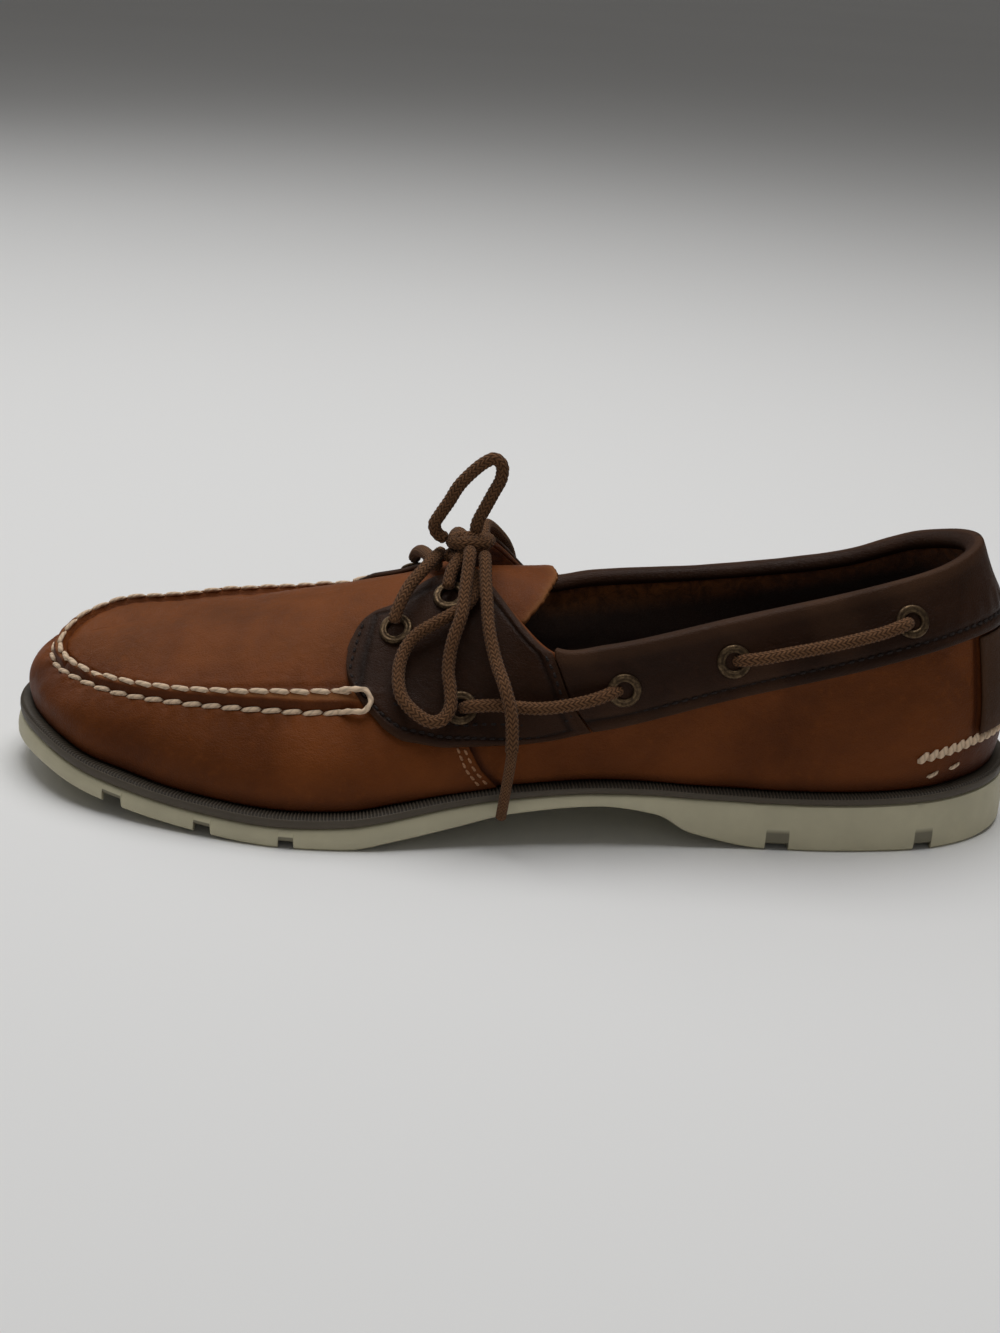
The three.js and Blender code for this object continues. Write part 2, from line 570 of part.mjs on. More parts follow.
function collarBand() {
  const height = { face: TRIM_SEAT + TRIM, back: TRIM_SEAT };
  const depth = { face: -WALL - TRIM_SEAT - TRIM, back: -WALL - TRIM_SEAT };
  const lift = { faceLift: TRIM_SEAT + TRIM, backLift: TRIM_SEAT };
  const path = [
    { rise: 0.5, ...height },
    ...RISES.filter((rise) => rise > 0.5).map((rise) => ({ rise, ...height })),
    { rise: 1, ...height, ...lift },
    { rise: 1, ...depth, ...lift },
    ...RISES.slice(-2).reverse().map((rise) => ({ rise, ...depth })),
  ];
  const last = TRIM_STRAIGHT + 1;
  const columns = steps(2 * last * ROW_STEPS).map((share) => mix(-last, last, share));
  const grid = (layer) =>
    columns.map((column) =>
      path.map((spot) => {
        const lap = lapAt(trimRow(Math.abs(column), spot.rise), Math.sign(column));
        return onUpper(lap, spot.rise, spot[layer]).addScaledVector(UP, spot[`${layer}Lift`] ?? 0);
      }),
    );
  return sheet(grid("face"), grid("back"));
}

// A layer of leather over the upper's own mesh, cut to the shape of a thicker form that follows it.
function overlay(rows, rises, side, outline) {
  const lapsOf = rows.map((row) => lapAt(row, side)).sort((a, b) => a - b);
  const layer = (height) => lapsOf.map((lap) => rises.map((rise) => onUpper(lap, rise, height)));
  const leather = manifoldOf(sheet(layer(TRIM_SEAT + TRIM), layer(TRIM_SEAT)));
  const form = manifoldOf(sheet(outline(CUT_ABOVE), outline(-CUT_BELOW)));
  return geometryOf(leather.intersect(form));
}

function eyestay(side) {
  const rows = EYESTAY.map(({ row, low, high }) => ({ at: row, low, high }));
  const low = column(rows, "low");
  const high = column(rows, "high");
  const [first, last] = [rows[0].at, rows.at(-1).at];
  const stations = rows.flatMap(({ at }, i) => (i ? [mix(rows[i - 1].at, at, 0.5), at] : [at]));
  const outline = (height) =>
    stations.map((row) =>
      steps(EYESTAY_STEPS).map((across) => {
        const rise = mix(low(row), high(row), across);
        const slant = EYESTAY_SLANT * Math.max(rise - 0.5, 0) * (1 - (row - first) / (last - first));
        return onUpper(lapAt(row + slant, side), rise, height);
      }),
    );
  const { firstRow, lastRow, lowest } = EYESTAY_MESH;
  const meshRows = laps.map((lap) => 2 * ROW_COUNT * lap).filter((row) => row >= firstRow && row <= lastRow);
  return overlay(meshRows, RISES.filter((rise) => rise >= lowest), side, outline);
}

const HEEL_STRIP_ROWS = [-1.5, -1, -0.5, 0, 0.5, 1, 1.5];
const HEEL_STRIP_RISES = [0.16, 0.2, 0.31, 0.4, 0.44, 0.48, 0.49];
function heelStrip() {
  const grid = (height) =>
    HEEL_STRIP_ROWS.map((row) => HEEL_STRIP_RISES.map((rise) => onUpper(lapAt(row, 1), rise, height)));
  return sheet(grid(TRIM_SEAT + TRIM), grid(TRIM_SEAT));
}

// ---------------------------------------------------------------- eyelets and lace
const EYELET_SEAT = TRIM_SEAT + TRIM + 2 * GAP; // above the upper
const LACE_SEAT = EYELET_SEAT + EYELET_HEIGHT + GAP + LACE / 2; // middle of a lace that crosses an eyelet

function eyeletGeometry() {
  const profile = EYELET_SECTION.map(
    ([out, up]) => new THREE.Vector2(mix(EYELET_HOLE, EYELET_RADIUS, out), up * EYELET_HEIGHT),
  );
  return new THREE.LatheGeometry(profile, EYELET_SIDES);
}

function roundCord(curve, diameter) {
  const shape = new THREE.Shape(
    Array.from({ length: LACE_SIDES }, (_, i) => {
      const angle = (TAU * i) / LACE_SIDES;
      return new THREE.Vector2(Math.cos(angle), Math.sin(angle)).multiplyScalar(diameter / 2);
    }),
  );
  const count = Math.max(2, Math.ceil(curve.getLength() / LACE_STEP));
  const cord = new THREE.ExtrudeGeometry(shape, { extrudePath: curve, steps: count, bevelEnabled: false });
  return mergeVertices(cord.deleteAttribute("normal").deleteAttribute("uv"), 1e-3);
}

const routeCurve = (name) =>
  new THREE.CatmullRomCurve3(ROUTES[name].map((point) => new THREE.Vector3(...point)), false, "centripetal");
const joined = (geometries) => geometryOf(geometries.map(manifoldOf).reduce((sum, next) => sum.add(next)));

// The lace that runs outside the leather between two eyelets of one side, bowed up the section.
function sideLace(side, first, second, bow) {
  const sideName = side > 0 ? "outer" : "inner";
  const [a, b] = [EYELETS[first][sideName], EYELETS[second][sideName]];
  const points = steps(SIDE_LACE_SPANS).map((s) =>
    onUpper(lapAt(mix(a.row, b.row, s), side), mix(a.rise, b.rise, s) + 4 * bow * s * (1 - s), LACE_SEAT),
  );
  return roundCord(new THREE.CatmullRomCurve3(points, false, "centripetal"), LACE);
}

function knot() {
  const ball = new THREE.SphereGeometry(1, KNOT_SIDES, KNOT_BANDS).scale(KNOT.wide, KNOT.deep, KNOT.high);
  ball.translate(KNOT.x, KNOT.y, KNOT.z);
  const plain = ball.deleteAttribute("normal").deleteAttribute("uv");
  return joined([plain, roundCord(routeCurve("riseOuter"), LACE), roundCord(routeCurve("riseInner"), LACE)]);
}

// ---------------------------------------------------------------- the object
const COLOURS = {
  rubber: { color: 0x8f9383, roughness: 0.75 },
  welt: { color: 0x4c453c, roughness: 0.7 },
  tan: { color: 0x8a431c, roughness: 0.5 },
  brown: { color: 0x33201a, roughness: 0.55 },
  suede: { color: 0x8a4a20, roughness: 0.95 },
  lace: { color: 0x4a2c1c, roughness: 0.9 },
  brass: { color: 0x6e5a3c, roughness: 0.45, metalness: 0.9 },
};

const shoe = new THREE.Group();
function add(name, geometry, finish) {
  const mesh = new THREE.Mesh(geometry, new THREE.MeshStandardMaterial(COLOURS[finish]));
  mesh.name = name;
  shoe.add(mesh);
  return mesh;
}

add("outsole", outsole(), "rubber");
add("welt", weltRing(), "welt");
add("insole", insole(), "suede");
add("upper", upper(), "tan");
add("tongue", tongue(), "tan");
add("collar_band", collarBand(), "brown");
add("heel_strip", heelStrip(), "brown");

const SIDES = { outer: 1, inner: -1 };
for (const [name, side] of Object.entries(SIDES)) {
  add(`eyestay_${name}`, eyestay(side), "brown");
  EYELETS.forEach((spots, i) => {
    const { row, rise } = spots[name];
    const eyelet = add(`eyelet_${name}_${i + 1}`, eyeletGeometry(), "brass");
    eyelet.position.copy(onUpper(lapAt(row, side), rise, EYELET_SEAT));
    eyelet.quaternion.setFromUnitVectors(new THREE.Vector3(0, 1, 0), normalAt(lapAt(row, side), rise));
  });
  add(`side_lace_${name}_front`, sideLace(side, 2, 3, LACE_BOW), "lace");
  add(`side_lace_${name}_rear`, sideLace(side, 4, 5, 0), "lace");
}

const crossing = ["crossOuter", "crossInner"].map((name) => roundCord(routeCurve(name), LACE));
add("lace_crossing", joined(crossing), "lace");
add("lace_knot", knot(), "lace");
add("lace_loop_high", roundCord(routeCurve("loopHigh"), LACE), "lace");
add("lace_loop_low", roundCord(routeCurve("loopLow"), LACE), "lace");
add("lace_end_outer", roundCord(routeCurve("endOuter"), LACE), "lace");
add("lace_end_inner", roundCord(routeCurve("endInner"), LACE), "lace");
add("aglet_outer", roundCord(routeCurve("agletOuter"), AGLET), "lace");
add("aglet_inner", roundCord(routeCurve("agletInner"), AGLET), "lace");

export default shoe;
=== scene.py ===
import math

import bmesh
import bpy
import numpy as np
from mathutils import Matrix


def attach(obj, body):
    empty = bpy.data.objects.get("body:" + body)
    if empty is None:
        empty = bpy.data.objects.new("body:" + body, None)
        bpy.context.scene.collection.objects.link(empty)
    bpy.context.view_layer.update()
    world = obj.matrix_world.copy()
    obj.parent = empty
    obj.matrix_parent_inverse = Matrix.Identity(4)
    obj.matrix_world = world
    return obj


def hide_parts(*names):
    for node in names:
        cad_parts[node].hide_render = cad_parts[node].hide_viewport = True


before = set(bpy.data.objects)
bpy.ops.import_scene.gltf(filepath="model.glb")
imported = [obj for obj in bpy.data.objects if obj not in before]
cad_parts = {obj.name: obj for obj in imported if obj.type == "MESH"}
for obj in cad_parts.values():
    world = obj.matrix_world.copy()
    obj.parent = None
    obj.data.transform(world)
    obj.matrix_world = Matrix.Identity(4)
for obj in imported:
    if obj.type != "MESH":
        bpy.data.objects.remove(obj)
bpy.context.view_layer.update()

bl_info = {
    "name": "Boat shoe",
    "version": (1, 0, 0),
    "blender": (4, 5, 0),
    "location": "View3D > Sidebar > Boat shoe",
    "description": "Builds a left boat shoe piece by piece around its packed frame",
    "category": "Add Mesh",
}

BODY = "root"
MM = 0.001
TAU = 2 * math.pi
SIDES = (("outer", 1), ("inner", -1))

# ------------------------------------------------------------------ sizes of the shoe, in millimetres
LENGTH = 306
SIDE_SHIFT = 1.6
GAP = 0.3  # between pieces that touch in the real shoe
RUBBER_FLARE = 1
RUBBER_CHAMFER = 0.8
SIDE_RINGS = 9  # down the side of the sole
RUBBER_BELLY = 0.35  # how far the sole's side stands out at half its height
CORE_INSET = 11
ZIGZAG_WIDTH, ZIGZAG_REACH, ZIGZAG_PITCH, ZIGZAG_DEPTH = 9, 5, 5.5, 1.1
ZIGZAG_END = 60  # from the middle line, and the cuts grow shallower over the last 8
WELT_LEDGE = 3.4
RIB_DEPTH = 0.8
WALL = 2
COLUMNS_PER_ROW = 22
LEATHER = 1.7  # thickness of the upper's leather, inside which the lining lies
LINING_GAP = 0.1
MARGIN = 7
INSOLE_THICKNESS = 3
INSOLE_PLAY = 0.8
INSOLE_DISH = 0.9
TONGUE_THICKNESS = 2
TONGUE_CENTRE = 2
TONGUE_TILT = 0.1
TONGUE_ROUND = 0.03
EYELET_SEAT = 2.3
RING_SPACING = 0.36  # between the rings of a cord
BRAID_RELIEF = 0.25
SLEEVE_LAP = 10  # rings of the lace that lie inside its end's sleeve
TOE_FULLNESS = 0.1
HANDLE = 0.38  # length of a Bezier curve's handles, as a share of its chord

# Places on the upper: rows are counted from the heel to the toe, rises from the foot (0) over the
# shoulder (0.5) to the end of the section (1).
ROW_COUNT = 15
SPINE_ROW = 8
SHOULDER_RISE = 0.5
TRIM_SPLIT = 0.05
TRIM_STRAIGHT = 5
EYESTAY_SLANT = 1.7
APRON_ROWS = (9.0, 9.4)  # the apron's seam begins between these
STRIP_ROW = 1.56  # edge of the heel strip

# Sole outline: share of the length from the heel, half width outside, half width inside.
OUTLINE = (
    (0, 0, 0), (0.02, 18.5, 18), (0.08, 32.8, 32.2), (0.17, 39, 38), (0.3, 40.5, 34.5), (0.42, 43.3, 30.5),
    (0.485, 45.5, 31.3), (0.55, 48.3, 35), (0.6, 51.3, 39.5), (0.64, 53.4, 44), (0.72, 53.6, 50),
    (0.8, 47.8, 50.5), (0.88, 38.2, 47), (0.94, 27, 39.6), (0.985, 9.4, 25.4), (1, -8, 8),
)
# Shoulder of each section: share of the length, outer and inner half width, outer and inner height.
SHOULDER = (
    (0.026, 0, 0, 64, 64), (0.037, 12, 12, 64, 64), (0.09, 26, 26, 62, 62), (0.17, 32.8, 33.5, 56, 55),
    (0.3, 36.5, 34, 46, 45), (0.42, 39.3, 33.5, 35.5, 36), (0.485, 40.5, 34, 33, 35),
    (0.55, 40, 35.2, 35, 40), (0.6, 37, 35.5, 38.5, 45.5), (0.638, 34.3, 35, 41, 49),
    (0.71, 33.3, 34.3, 40, 48.2), (0.782, 30.8, 33, 38, 46.7), (0.852, 25.2, 29.8, 36, 44.8),
    (0.907, 17, 23.8, 34.8, 44), (0.945, 5.5, 15, 34.8, 40), (0.957, -5.5, 5.5, 36, 36),
)
# Upper end of each section, in the same columns: collar, throat, then the spine of the closed toe.
EDGE = (
    (0.058, 0, 0, 86, 86), (0.064, 8, 8, 85.3, 85), (0.1, 18.3, 19, 81.8, 80.7), (0.17, 25, 28, 76.2, 70.4),
    (0.3, 32.6, 34, 67.4, 61.8), (0.42, 36.6, 36, 58.4, 57.4), (0.47, 36.2, 35.5, 56.6, 55),
    (0.542, 9, 12.5, 70, 75.8), (0.575, -2, 2, 70.5, 70.5), (0.615, -3, 3, 64.8, 64.8),
    (0.68, -4.5, 4.5, 59.3, 59.3), (0.75, -5, 5, 54, 54), (0.815, -6, 6, 49.5, 49.5),
    (0.865, -6.5, 6.5, 46, 46), (0.905, -6.5, 6.5, 43, 43), (0.928, -6, 6, 41, 41),
)
# Slopes of a section in degrees: at the foot, below the shoulder, above it outside and inside, at the end.
SLOPES = (
    (0, 104, 74, 74, 74, 66), (0.1, 100, 80, 80, 80, 72), (0.3, 95, 88, 88, 88, 84),
    (0.45, 95, 84, 84, 84, 80),
    (0.55, 98, 66, 60, 58, 30), (0.62, 100, 50, 42, 28, 4), (0.72, 101, 44, 34, 20, 0),
    (0.86, 103, 36, 26, 12, 0), (1, 108, 15, 30, 30, 0),
)
# Side profile of the sole: underside above the floor, upper edge of the rubber, thickness of the welt.
PROFILE = (
    (0, 1, 17, 4.2), (0.05, 0, 15.9, 3.6), (0.17, 0, 14.5, 2.6), (0.25, 0, 14.3, 2.6), (0.33, 4.6, 15.2, 2.6),
    (0.365, 10.4, 16, 2.6), (0.42, 12.8, 16.4, 2.6), (0.5, 10.7, 14.9, 2.8), (0.56, 6.3, 12.3, 3),
    (0.62, 2.3, 8.6, 3.4), (0.66, 0, 6.6, 3.6), (0.73, 0, 5.7, 3.8), (0.8, 1.1, 6.6, 3.8),
    (0.9, 4.3, 10, 3.9), (1, 9.5, 16.2, 4.2),
)
# Section of the welt: inset, share of its thickness, share of the ribs' depth.
WELT_PROFILE = (
    (CORE_INSET, 0, 0), (0.2, 0, 0), (-0.15, 0.1, 0), (-0.3, 0.4, 0), (-0.25, 0.66, 0), (-0.1, 0.76, 0),
    (0.0, 0.8, 1), (0.25, 0.94, 1), (0.8, 1, 1), (1.6, 1, 1), (2.6, 1, 1), (3.7, 0.98, 0.8),
    (CORE_INSET, 0.95, 0),
)
# Channels across the tread: share of the length, width, depth.
CHANNELS = ((0.1, 5.6, 1.9), (0.245, 7, 1.9), (0.715, 4.4, 2.2), (0.795, 5, 2.4), (0.885, 6, 2.6))
# Tongue: share of the length, half width, height, drop of its sides.
TONGUE = (
    (0.468, 18, 69, 7), (0.53, 19, 68.4, 8.5), (0.575, 17, 65.6, 9), (0.615, 15, 61, 7.5),
    (0.66, 14, 56.4, 5.5),
)
# Eyestay: row, rise of its lower edge, rise of its upper edge.
EYESTAY = (
    (5.2, 0.5, 1), (5.8, 0.46, 1), (6.4, 0.405, 1), (7, 0.355, 0.99), (7.5, 0.325, 0.93), (8.1, 0.325, 0.9),
    (8.6, 0.355, 0.86), (9, 0.41, 0.822), (9.25, 0.475, 0.805), (9.4, 0.54, 0.775), (9.47, 0.6, 0.735),
    (9.5, 0.65, 0.69),
)
# Eyelets from the toe to the heel: row and rise outside, row and rise inside.
EYELETS = (
    (8.8, 0.713, 8.45, 0.73), (7.61, 0.85, 7.45, 0.83), (7.15, 0.537, 7.15, 0.56),
    (4.86, 0.75, 4.86, 0.75), (4.03, 0.762, 4.03, 0.762), (2.57, 0.738, 2.57, 0.738),
)
# Profile of an eyelet: radius and height, under the flange, over it and down the barrel.
EYELET_PROFILE = (
    (4.9, -0.1), (5, 0.35), (4.85, 0.72), (4.5, 0.95), (4.1, 0.98), (3.85, 0.9), (3.55, 0.88), (3.3, 0.98),
    (3.0, 1.0), (2.72, 0.8), (2.6, 0.4), (2.55, -0.6), (2.5, -1.6), (0, -1.7), (0, -1.9), (3.2, -1.9),
    (3.3, -0.3), (4.9, -0.1),
)
# A side lace: share of the way between its eyelets, and height above the leather.
SIDE_LACE = (
    (0, -0.4), (0.03, 1.9), (0.075, 4.4), (0.14, 5.4), (0.25, 5.5), (0.5, 5.5), (0.75, 5.5), (0.86, 5.4),
    (0.925, 4.4), (0.97, 1.9), (1, -0.4),
)
# Its two lengths on each side: name, first and second eyelet, sag.
SIDE_LACES = (("front", 2, 3, 1.0), ("rear", 4, 5, 0.6))
# Middle lines of the lace.
ROUTES = {
    "crossOuter": (
        (-38.3, -21.9, 59.1), (-36.9, -19.6, 63.5), (-34, -15.5, 68.8), (-29.6, -10, 73),
        (-26.8, -3.6, 74.2), (-25, 2.4, 74.2),
    ),
    "crossInner": (
        (-33.5, 25.2, 64.2), (-32.6, 20.5, 67.5), (-31, 13, 70.6), (-29, 5.5, 71.7),
        (-27, -0.5, 71.6), (-25.8, -3.4, 71),
    ),
    "riseOuter": ((-22.9, -16.3, 68.7), (-22, -12.5, 72.5), (-20, -8, 75.4), (-18, -4.5, 77)),
    "riseInner": ((-22, 20.4, 72), (-20.6, 14.5, 76.4), (-19.2, 7, 78.2), (-17.8, 1, 78)),
    "loopHigh": (
        (-15.4, -3.2, 82), (-14.9, -3.3, 85.5), (-13, -3.6, 90), (-10.7, -3.8, 95), (-8.7, -3.9, 99.6),
        (-8.8, -3.9, 103.6), (-11, -3.8, 105.3), (-14, -3.6, 103.8), (-17.6, -3.2, 100.4), (-21, -2.8, 96.2),
        (-23.6, -2.4, 91.3), (-26, -2, 87.2), (-27.6, -1.7, 83.8), (-26.6, -1.6, 81), (-23.5, -1.8, 79.4),
    ),
    "loopLow": (
        (-16.8, -8.6, 78.6), (-16.8, -12.6, 78.2), (-17.2, -17, 74.8), (-17.8, -22, 70),
        (-18.5, -27.2, 64.6), (-20.2, -30, 59.7), (-21.3, -32, 54.9), (-21.6, -34.8, 49.6),
        (-20.8, -37.6, 45.6), (-20.6, -40.8, 41.2), (-22.6, -42.8, 38.3), (-26, -43.3, 37.6),
        (-31, -41.6, 39.8), (-34.7, -38.4, 43.1), (-35.9, -33.4, 48.4), (-34.6, -28.8, 53.3),
        (-31.5, -26.2, 57.3), (-27, -25.2, 60.4), (-22, -24, 63.2), (-17.2, -21.4, 65.8),
        (-14.8, -16.9, 68.6), (-15, -12.8, 70.8), (-16, -9.6, 72.8),
    ),
    "endOuter": (
        (-12.4, -8.2, 77.4), (-12.2, -13.6, 76.2), (-12, -18.8, 72.9), (-11.3, -24.4, 67.9), (-10.5, -30, 62),
        (-8.2, -36.6, 54.6), (-5.4, -43.6, 49.2), (-3.4, -47.2, 43.2), (-2.7, -49.2, 36.8),
        (-2.6, -49.8, 31.2),
    ),
    "endInner": (
        (-12.7, 2.4, 78.9), (-12.6, 6, 79.9), (-12.4, 10.6, 80.4), (-11, 16.6, 78.8), (-8.2, 23, 74.8),
        (-5, 29.6, 69.2), (-2.8, 36.4, 62), (-1.8, 42.6, 54.2), (-2, 47, 46), (-2.4, 48.2, 38),
    ),
    "agletOuter": ((-2.6, -49.9, 30.8), (-3.2, -50.1, 24), (-4.6, -50, 10.8)),
    "agletInner": ((-2.4, 48.3, 37.6), (-2.8, 48.6, 30), (-3.6, 48.4, 17.6)),
}
# Wraps of the knot, as rings round its middle.
KNOT_WRAPS = (
    ((-22.6, -1, 78.6), (-21, -5.4, 79.4), (-17, -7.4, 80), (-12.8, -6, 79.9), (-11, -1.6, 79.6),
     (-12.6, 2.6, 79), (-17, 4, 78.6), (-21.2, 2.8, 78.4)),
    ((-22.2, -4.2, 74.8), (-19.6, -7, 75.6), (-15.6, -7, 77.4), (-12.6, -4.4, 78.6), (-12.8, 0.6, 78),
     (-16, 3.4, 76.4), (-20, 2.6, 75), (-22.6, -0.6, 74.2)),
)
KNOT_CORE = ((-21.5, -1.6, 76.4), (-19, -1.8, 77), (-15.4, -1.8, 77.4), (-13, -1.6, 77.2))
KNOT_CORE_DIAMETERS = 1.75
# Seam where the vamp laps over the quarter: row against rise.
SIDE_SEAM = ((0, 6.5), (0.163, 6.75), (0.35, 6.95), (0.5, 7.0))
SEAM_ROW = 6.7
# Edges of the apron's seam: row, counted on past the toe for the inner side, against rise.
APRON_LOW = ((9, 0.418), (9.8, 0.42), (11, 0.438), (13.5, 0.446), (15, 0.43), (17, 0.432), (21, 0.44))
APRON_HIGH = ((9, 0.492), (12, 0.492), (13.5, 0.506), (15, 0.532), (17, 0.53), (21, 0.528))
# Stitching round the heel: row against rise.
KICKER = ((0, 0.142), (1.17, 0.138), (1.63, 0.134), (2.37, 0.112))
# Where the upper's rings lie: share of their count against rise, closest round the apron's seam.
RISE_SPREAD = ((0, 0), (0.09, 0.1), (0.14, 0.15), (0.37, 0.395), (0.74, 0.575), (1, 1))

# Soft creases of the leather: side, then row and rise of both ends, width and depth.
CREASES = (
    (1, 14.1, 0.37, 14.45, 0.22, 4.5, 1.95),
    (1, 13.3, 0.34, 13.7, 0.3, 4, 1.04),
    (1, 12.2, 0.3, 12.0, 0.14, 9, 1.43),
    (1, 10.6, 0.32, 10.3, 0.16, 8, 1.17),
    (1, 9.0, 0.26, 8.6, 0.1, 8, 1.04),
    (1, 12.0, 0.62, 12.3, 0.86, 5, 0.65),
    (1, 11.1, 0.6, 11.2, 0.95, 3.2, 0.585),
    (1, 10.7, 0.62, 10.72, 0.92, 2.6, 0.52),
    (1, 5.6, 0.34, 4.8, 0.12, 9, 1.17),
    (1, 3.6, 0.36, 3.9, 0.14, 10, 1.04),
    (-1, 13.9, 0.36, 14.2, 0.2, 5, 1.3),
    (-1, 12.1, 0.3, 11.9, 0.14, 9, 1.3),
    (-1, 10.4, 0.32, 10.2, 0.16, 8, 1.17),
    (-1, 11, 0.62, 11.1, 0.94, 3.4, 0.585),
    (-1, 5.4, 0.34, 4.9, 0.12, 9, 1.04),
    (-1, 3.4, 0.36, 3.8, 0.14, 10, 1.04),
)
CREASE_MOST = 1.5  # the leather lies on its lining, so no crease goes deeper
SWELL_WAVES = (
    (0.11, 0.05, 0.09, 0.4), (-0.07, 0.13, 0.06, 1.9), (0.19, -0.08, 0.12, 3.3), (0.05, 0.21, -0.17, 5.1),
)
SWELL = 0.45
# Apron seam, heights in millimetres and widths in rise.
RIDGE_PINCH = 0.12
RIDGE_WANDER = 0.1
LOWER_GROOVE = (0.6, 0.012)
UPPER_GROOVE = (0.4, 0.014)
LOWER_PUCKERS = (0.28, 0.03)
UPPER_PUCKERS = (0.12, 0.03)
# Height of the thread that turns round each end of the apron's seam, against the share of its way.
TURN_HEIGHTS = ((0, 0.6), (0.12, 1.9), (0.25, 2.3), (0.75, 2.3), (0.88, 1.9), (1, 0.6))
RIDGE_SLITS = ((13.9, 0.9), (13.1, 0.9))  # short cuts across the apron's seam: row and width
SLIT_DEPTH = 1.1
# Stitches: pitch, length, thickness, slant in radians, depth to which their ends sink.
KICKER_STITCH = (3.1, 4.9, 2.3, 0.62, 0.5)
TACK = (5.2, 4.4, 1.3, 0.2, 0.4)
VAMP_STITCH = (2.3, 2.0, 0.75, 0.1, 0.2)
BAND_STITCH = (2.9, 2.2, 0.8, 0.05, 0.25)
EYESTAY_STITCH = (2.6, 2.0, 0.8, 0.05, 0.25)
LAP_STEP = 0.85  # how far the vamp's edge stands over the quarter
LAP_GROOVE = 0.3
KICKER_GROOVE = 0.5
STRIP_GROOVE = 0.55

# Camera, in radians and millimetres, and the lights: place, target, size in metres, watts.
CAMERA_TURN, CAMERA_TILT, CAMERA_ROLL = -0.04035, 0.36313, 0.063
CAMERA_DISTANCE = 600.04
CAMERA_TARGET = (-5.454, 0, 39.016)
CAMERA_LENS, SENSOR_WIDTH = 52.885, 36
LIGHTS = (
    ("overhead", (0.0, 0.22, 1.4), (0, 0, 0), 1.3, 15.5),
    ("back_left", (-1.0, 1.0, 0.9), (0, 0, 0.04), 0.9, 3.0),
    ("front_fill", (0.2, -1.6, 0.7), (0, 0, 0.04), 1.4, 0.5),
)
WORLD_LIGHT = (1.0, 0.98, 0.95, 1)
WORLD_STRENGTH = 0.13
FLOOR_HALF = 30.0


# ------------------------------------------------------------------ tables and curves
def smoothstep(value, low, high):
    """0 below low, 1 above high, and 3s^2 - 2s^3 between."""
    s = np.clip((value - low) / (high - low), 0, 1)
    return s * s * (3 - 2 * s)


def bell(value, middle, width):
    """1 at the middle, and falling to nothing on both sides as a Gaussian curve."""
    return np.exp(-(((value - middle) / width) ** 2))


def mix(a, b, share):
    """The straight blend from a at share 0 to b at share 1."""
    return a + (b - a) * share


def read_table(table, at):
    """The second column of a table read along its first by straight lines."""
    return np.interp(at, *zip(*table))


def unit(vectors):
    """Vectors divided by their lengths."""
    return vectors / np.maximum(np.linalg.norm(vectors, axis=-1, keepdims=True), 1e-12)


def column(table, index):
    """One column of a table as a smooth function of its first one: cubic spans whose slopes are the
    harmonic mean of the neighbouring secants, or zero at a turn."""
    rows = np.array(table, float)
    x, y = rows[:, 0], rows[:, index]
    secant = np.diff(y) / np.diff(x)
    slope = np.zeros(len(x))
    product = secant[:-1] * secant[1:]
    inner = product > 0
    slope[1:-1][inner] = 2 * product[inner] / (secant[:-1] + secant[1:])[inner]

    def value(at):
        k = np.clip(np.searchsorted(x, at, side="right") - 1, 0, len(x) - 2)
        span = x[k + 1] - x[k]
        s = np.clip((at - x[k]) / span, 0, 1)
        ends = s * (1 - s) ** 2 * slope[k] + s * s * (s - 1) * slope[k + 1]
        return mix(y[k], y[k + 1], s * s * (3 - 2 * s)) + span * ends

    return value


def spans(points, closed):
    """Centripetal Catmull-Rom spans: the cubic between two points, with slopes from their neighbours
    weighted by the square roots of the distances."""
    p = np.asarray(points, float)
    if closed:
        before, here, after, beyond = (np.roll(p, shift, axis=0) for shift in (1, 0, -1, -2))
    else:
        wide = np.vstack([2 * p[0] - p[1], p, 2 * p[-1] - p[-2]])
        before, here, after, beyond = wide[:-3], wide[1:-2], wide[2:-1], wide[3:]
    first, middle, last = (
        np.sqrt(np.linalg.norm(b - a, axis=1, keepdims=True))
        for a, b in ((before, here), (here, after), (after, beyond))
    )
    step = (after - here) / middle
    start = ((here - before) / first - (after - before) / (first + middle) + step) * middle
    end = (step - (beyond - here) / (middle + last) + (beyond - after) / last) * middle
    return np.stack([here, start, 3 * (after - here) - 2 * start - end, 2 * (here - after) + start + end])


def follow(curve, place):
    """Points on the spans at places counted in spans."""
    index = np.clip(np.floor(place).astype(int), 0, curve.shape[1] - 1)
    s = (place - index)[..., None]
    return curve[0][index] + s * (curve[1][index] + s * (curve[2][index] + s * curve[3][index]))


def even_points(points, spacing):
    """A smooth line through the points, resampled at an even distance, and its length."""
    curve = spans(points, False)
    dense = follow(curve, np.linspace(0, curve.shape[1], 60 * curve.shape[1] + 1))
    return resample(dense, spacing)


def travel_along(line):
    """Distance travelled along a line of points, from its first one: the running sum of its steps."""
    return np.concatenate([[0], np.cumsum(np.linalg.norm(np.diff(line, axis=0), axis=1))])


def read_at(wanted, travelled, values):
    """Columns of values read where the distance travelled is the wanted one."""
    return np.stack([np.interp(wanted, travelled, values[:, k]) for k in range(values.shape[1])], 1)


def resample(dense, spacing):
    """A line of points at an even distance, and its length."""
    travelled = travel_along(dense)
    length = travelled[-1]
    wanted = np.linspace(0, length, max(3, round(length / spacing) + 1))
    return read_at(wanted, travelled, dense), length


under, rubber, welt_height = (column(PROFILE, k) for k in (1, 2, 3))
slope_foot, slope_wall, slope_outer, slope_inner, slope_end = (column(SLOPES, k) for k in range(1, 6))


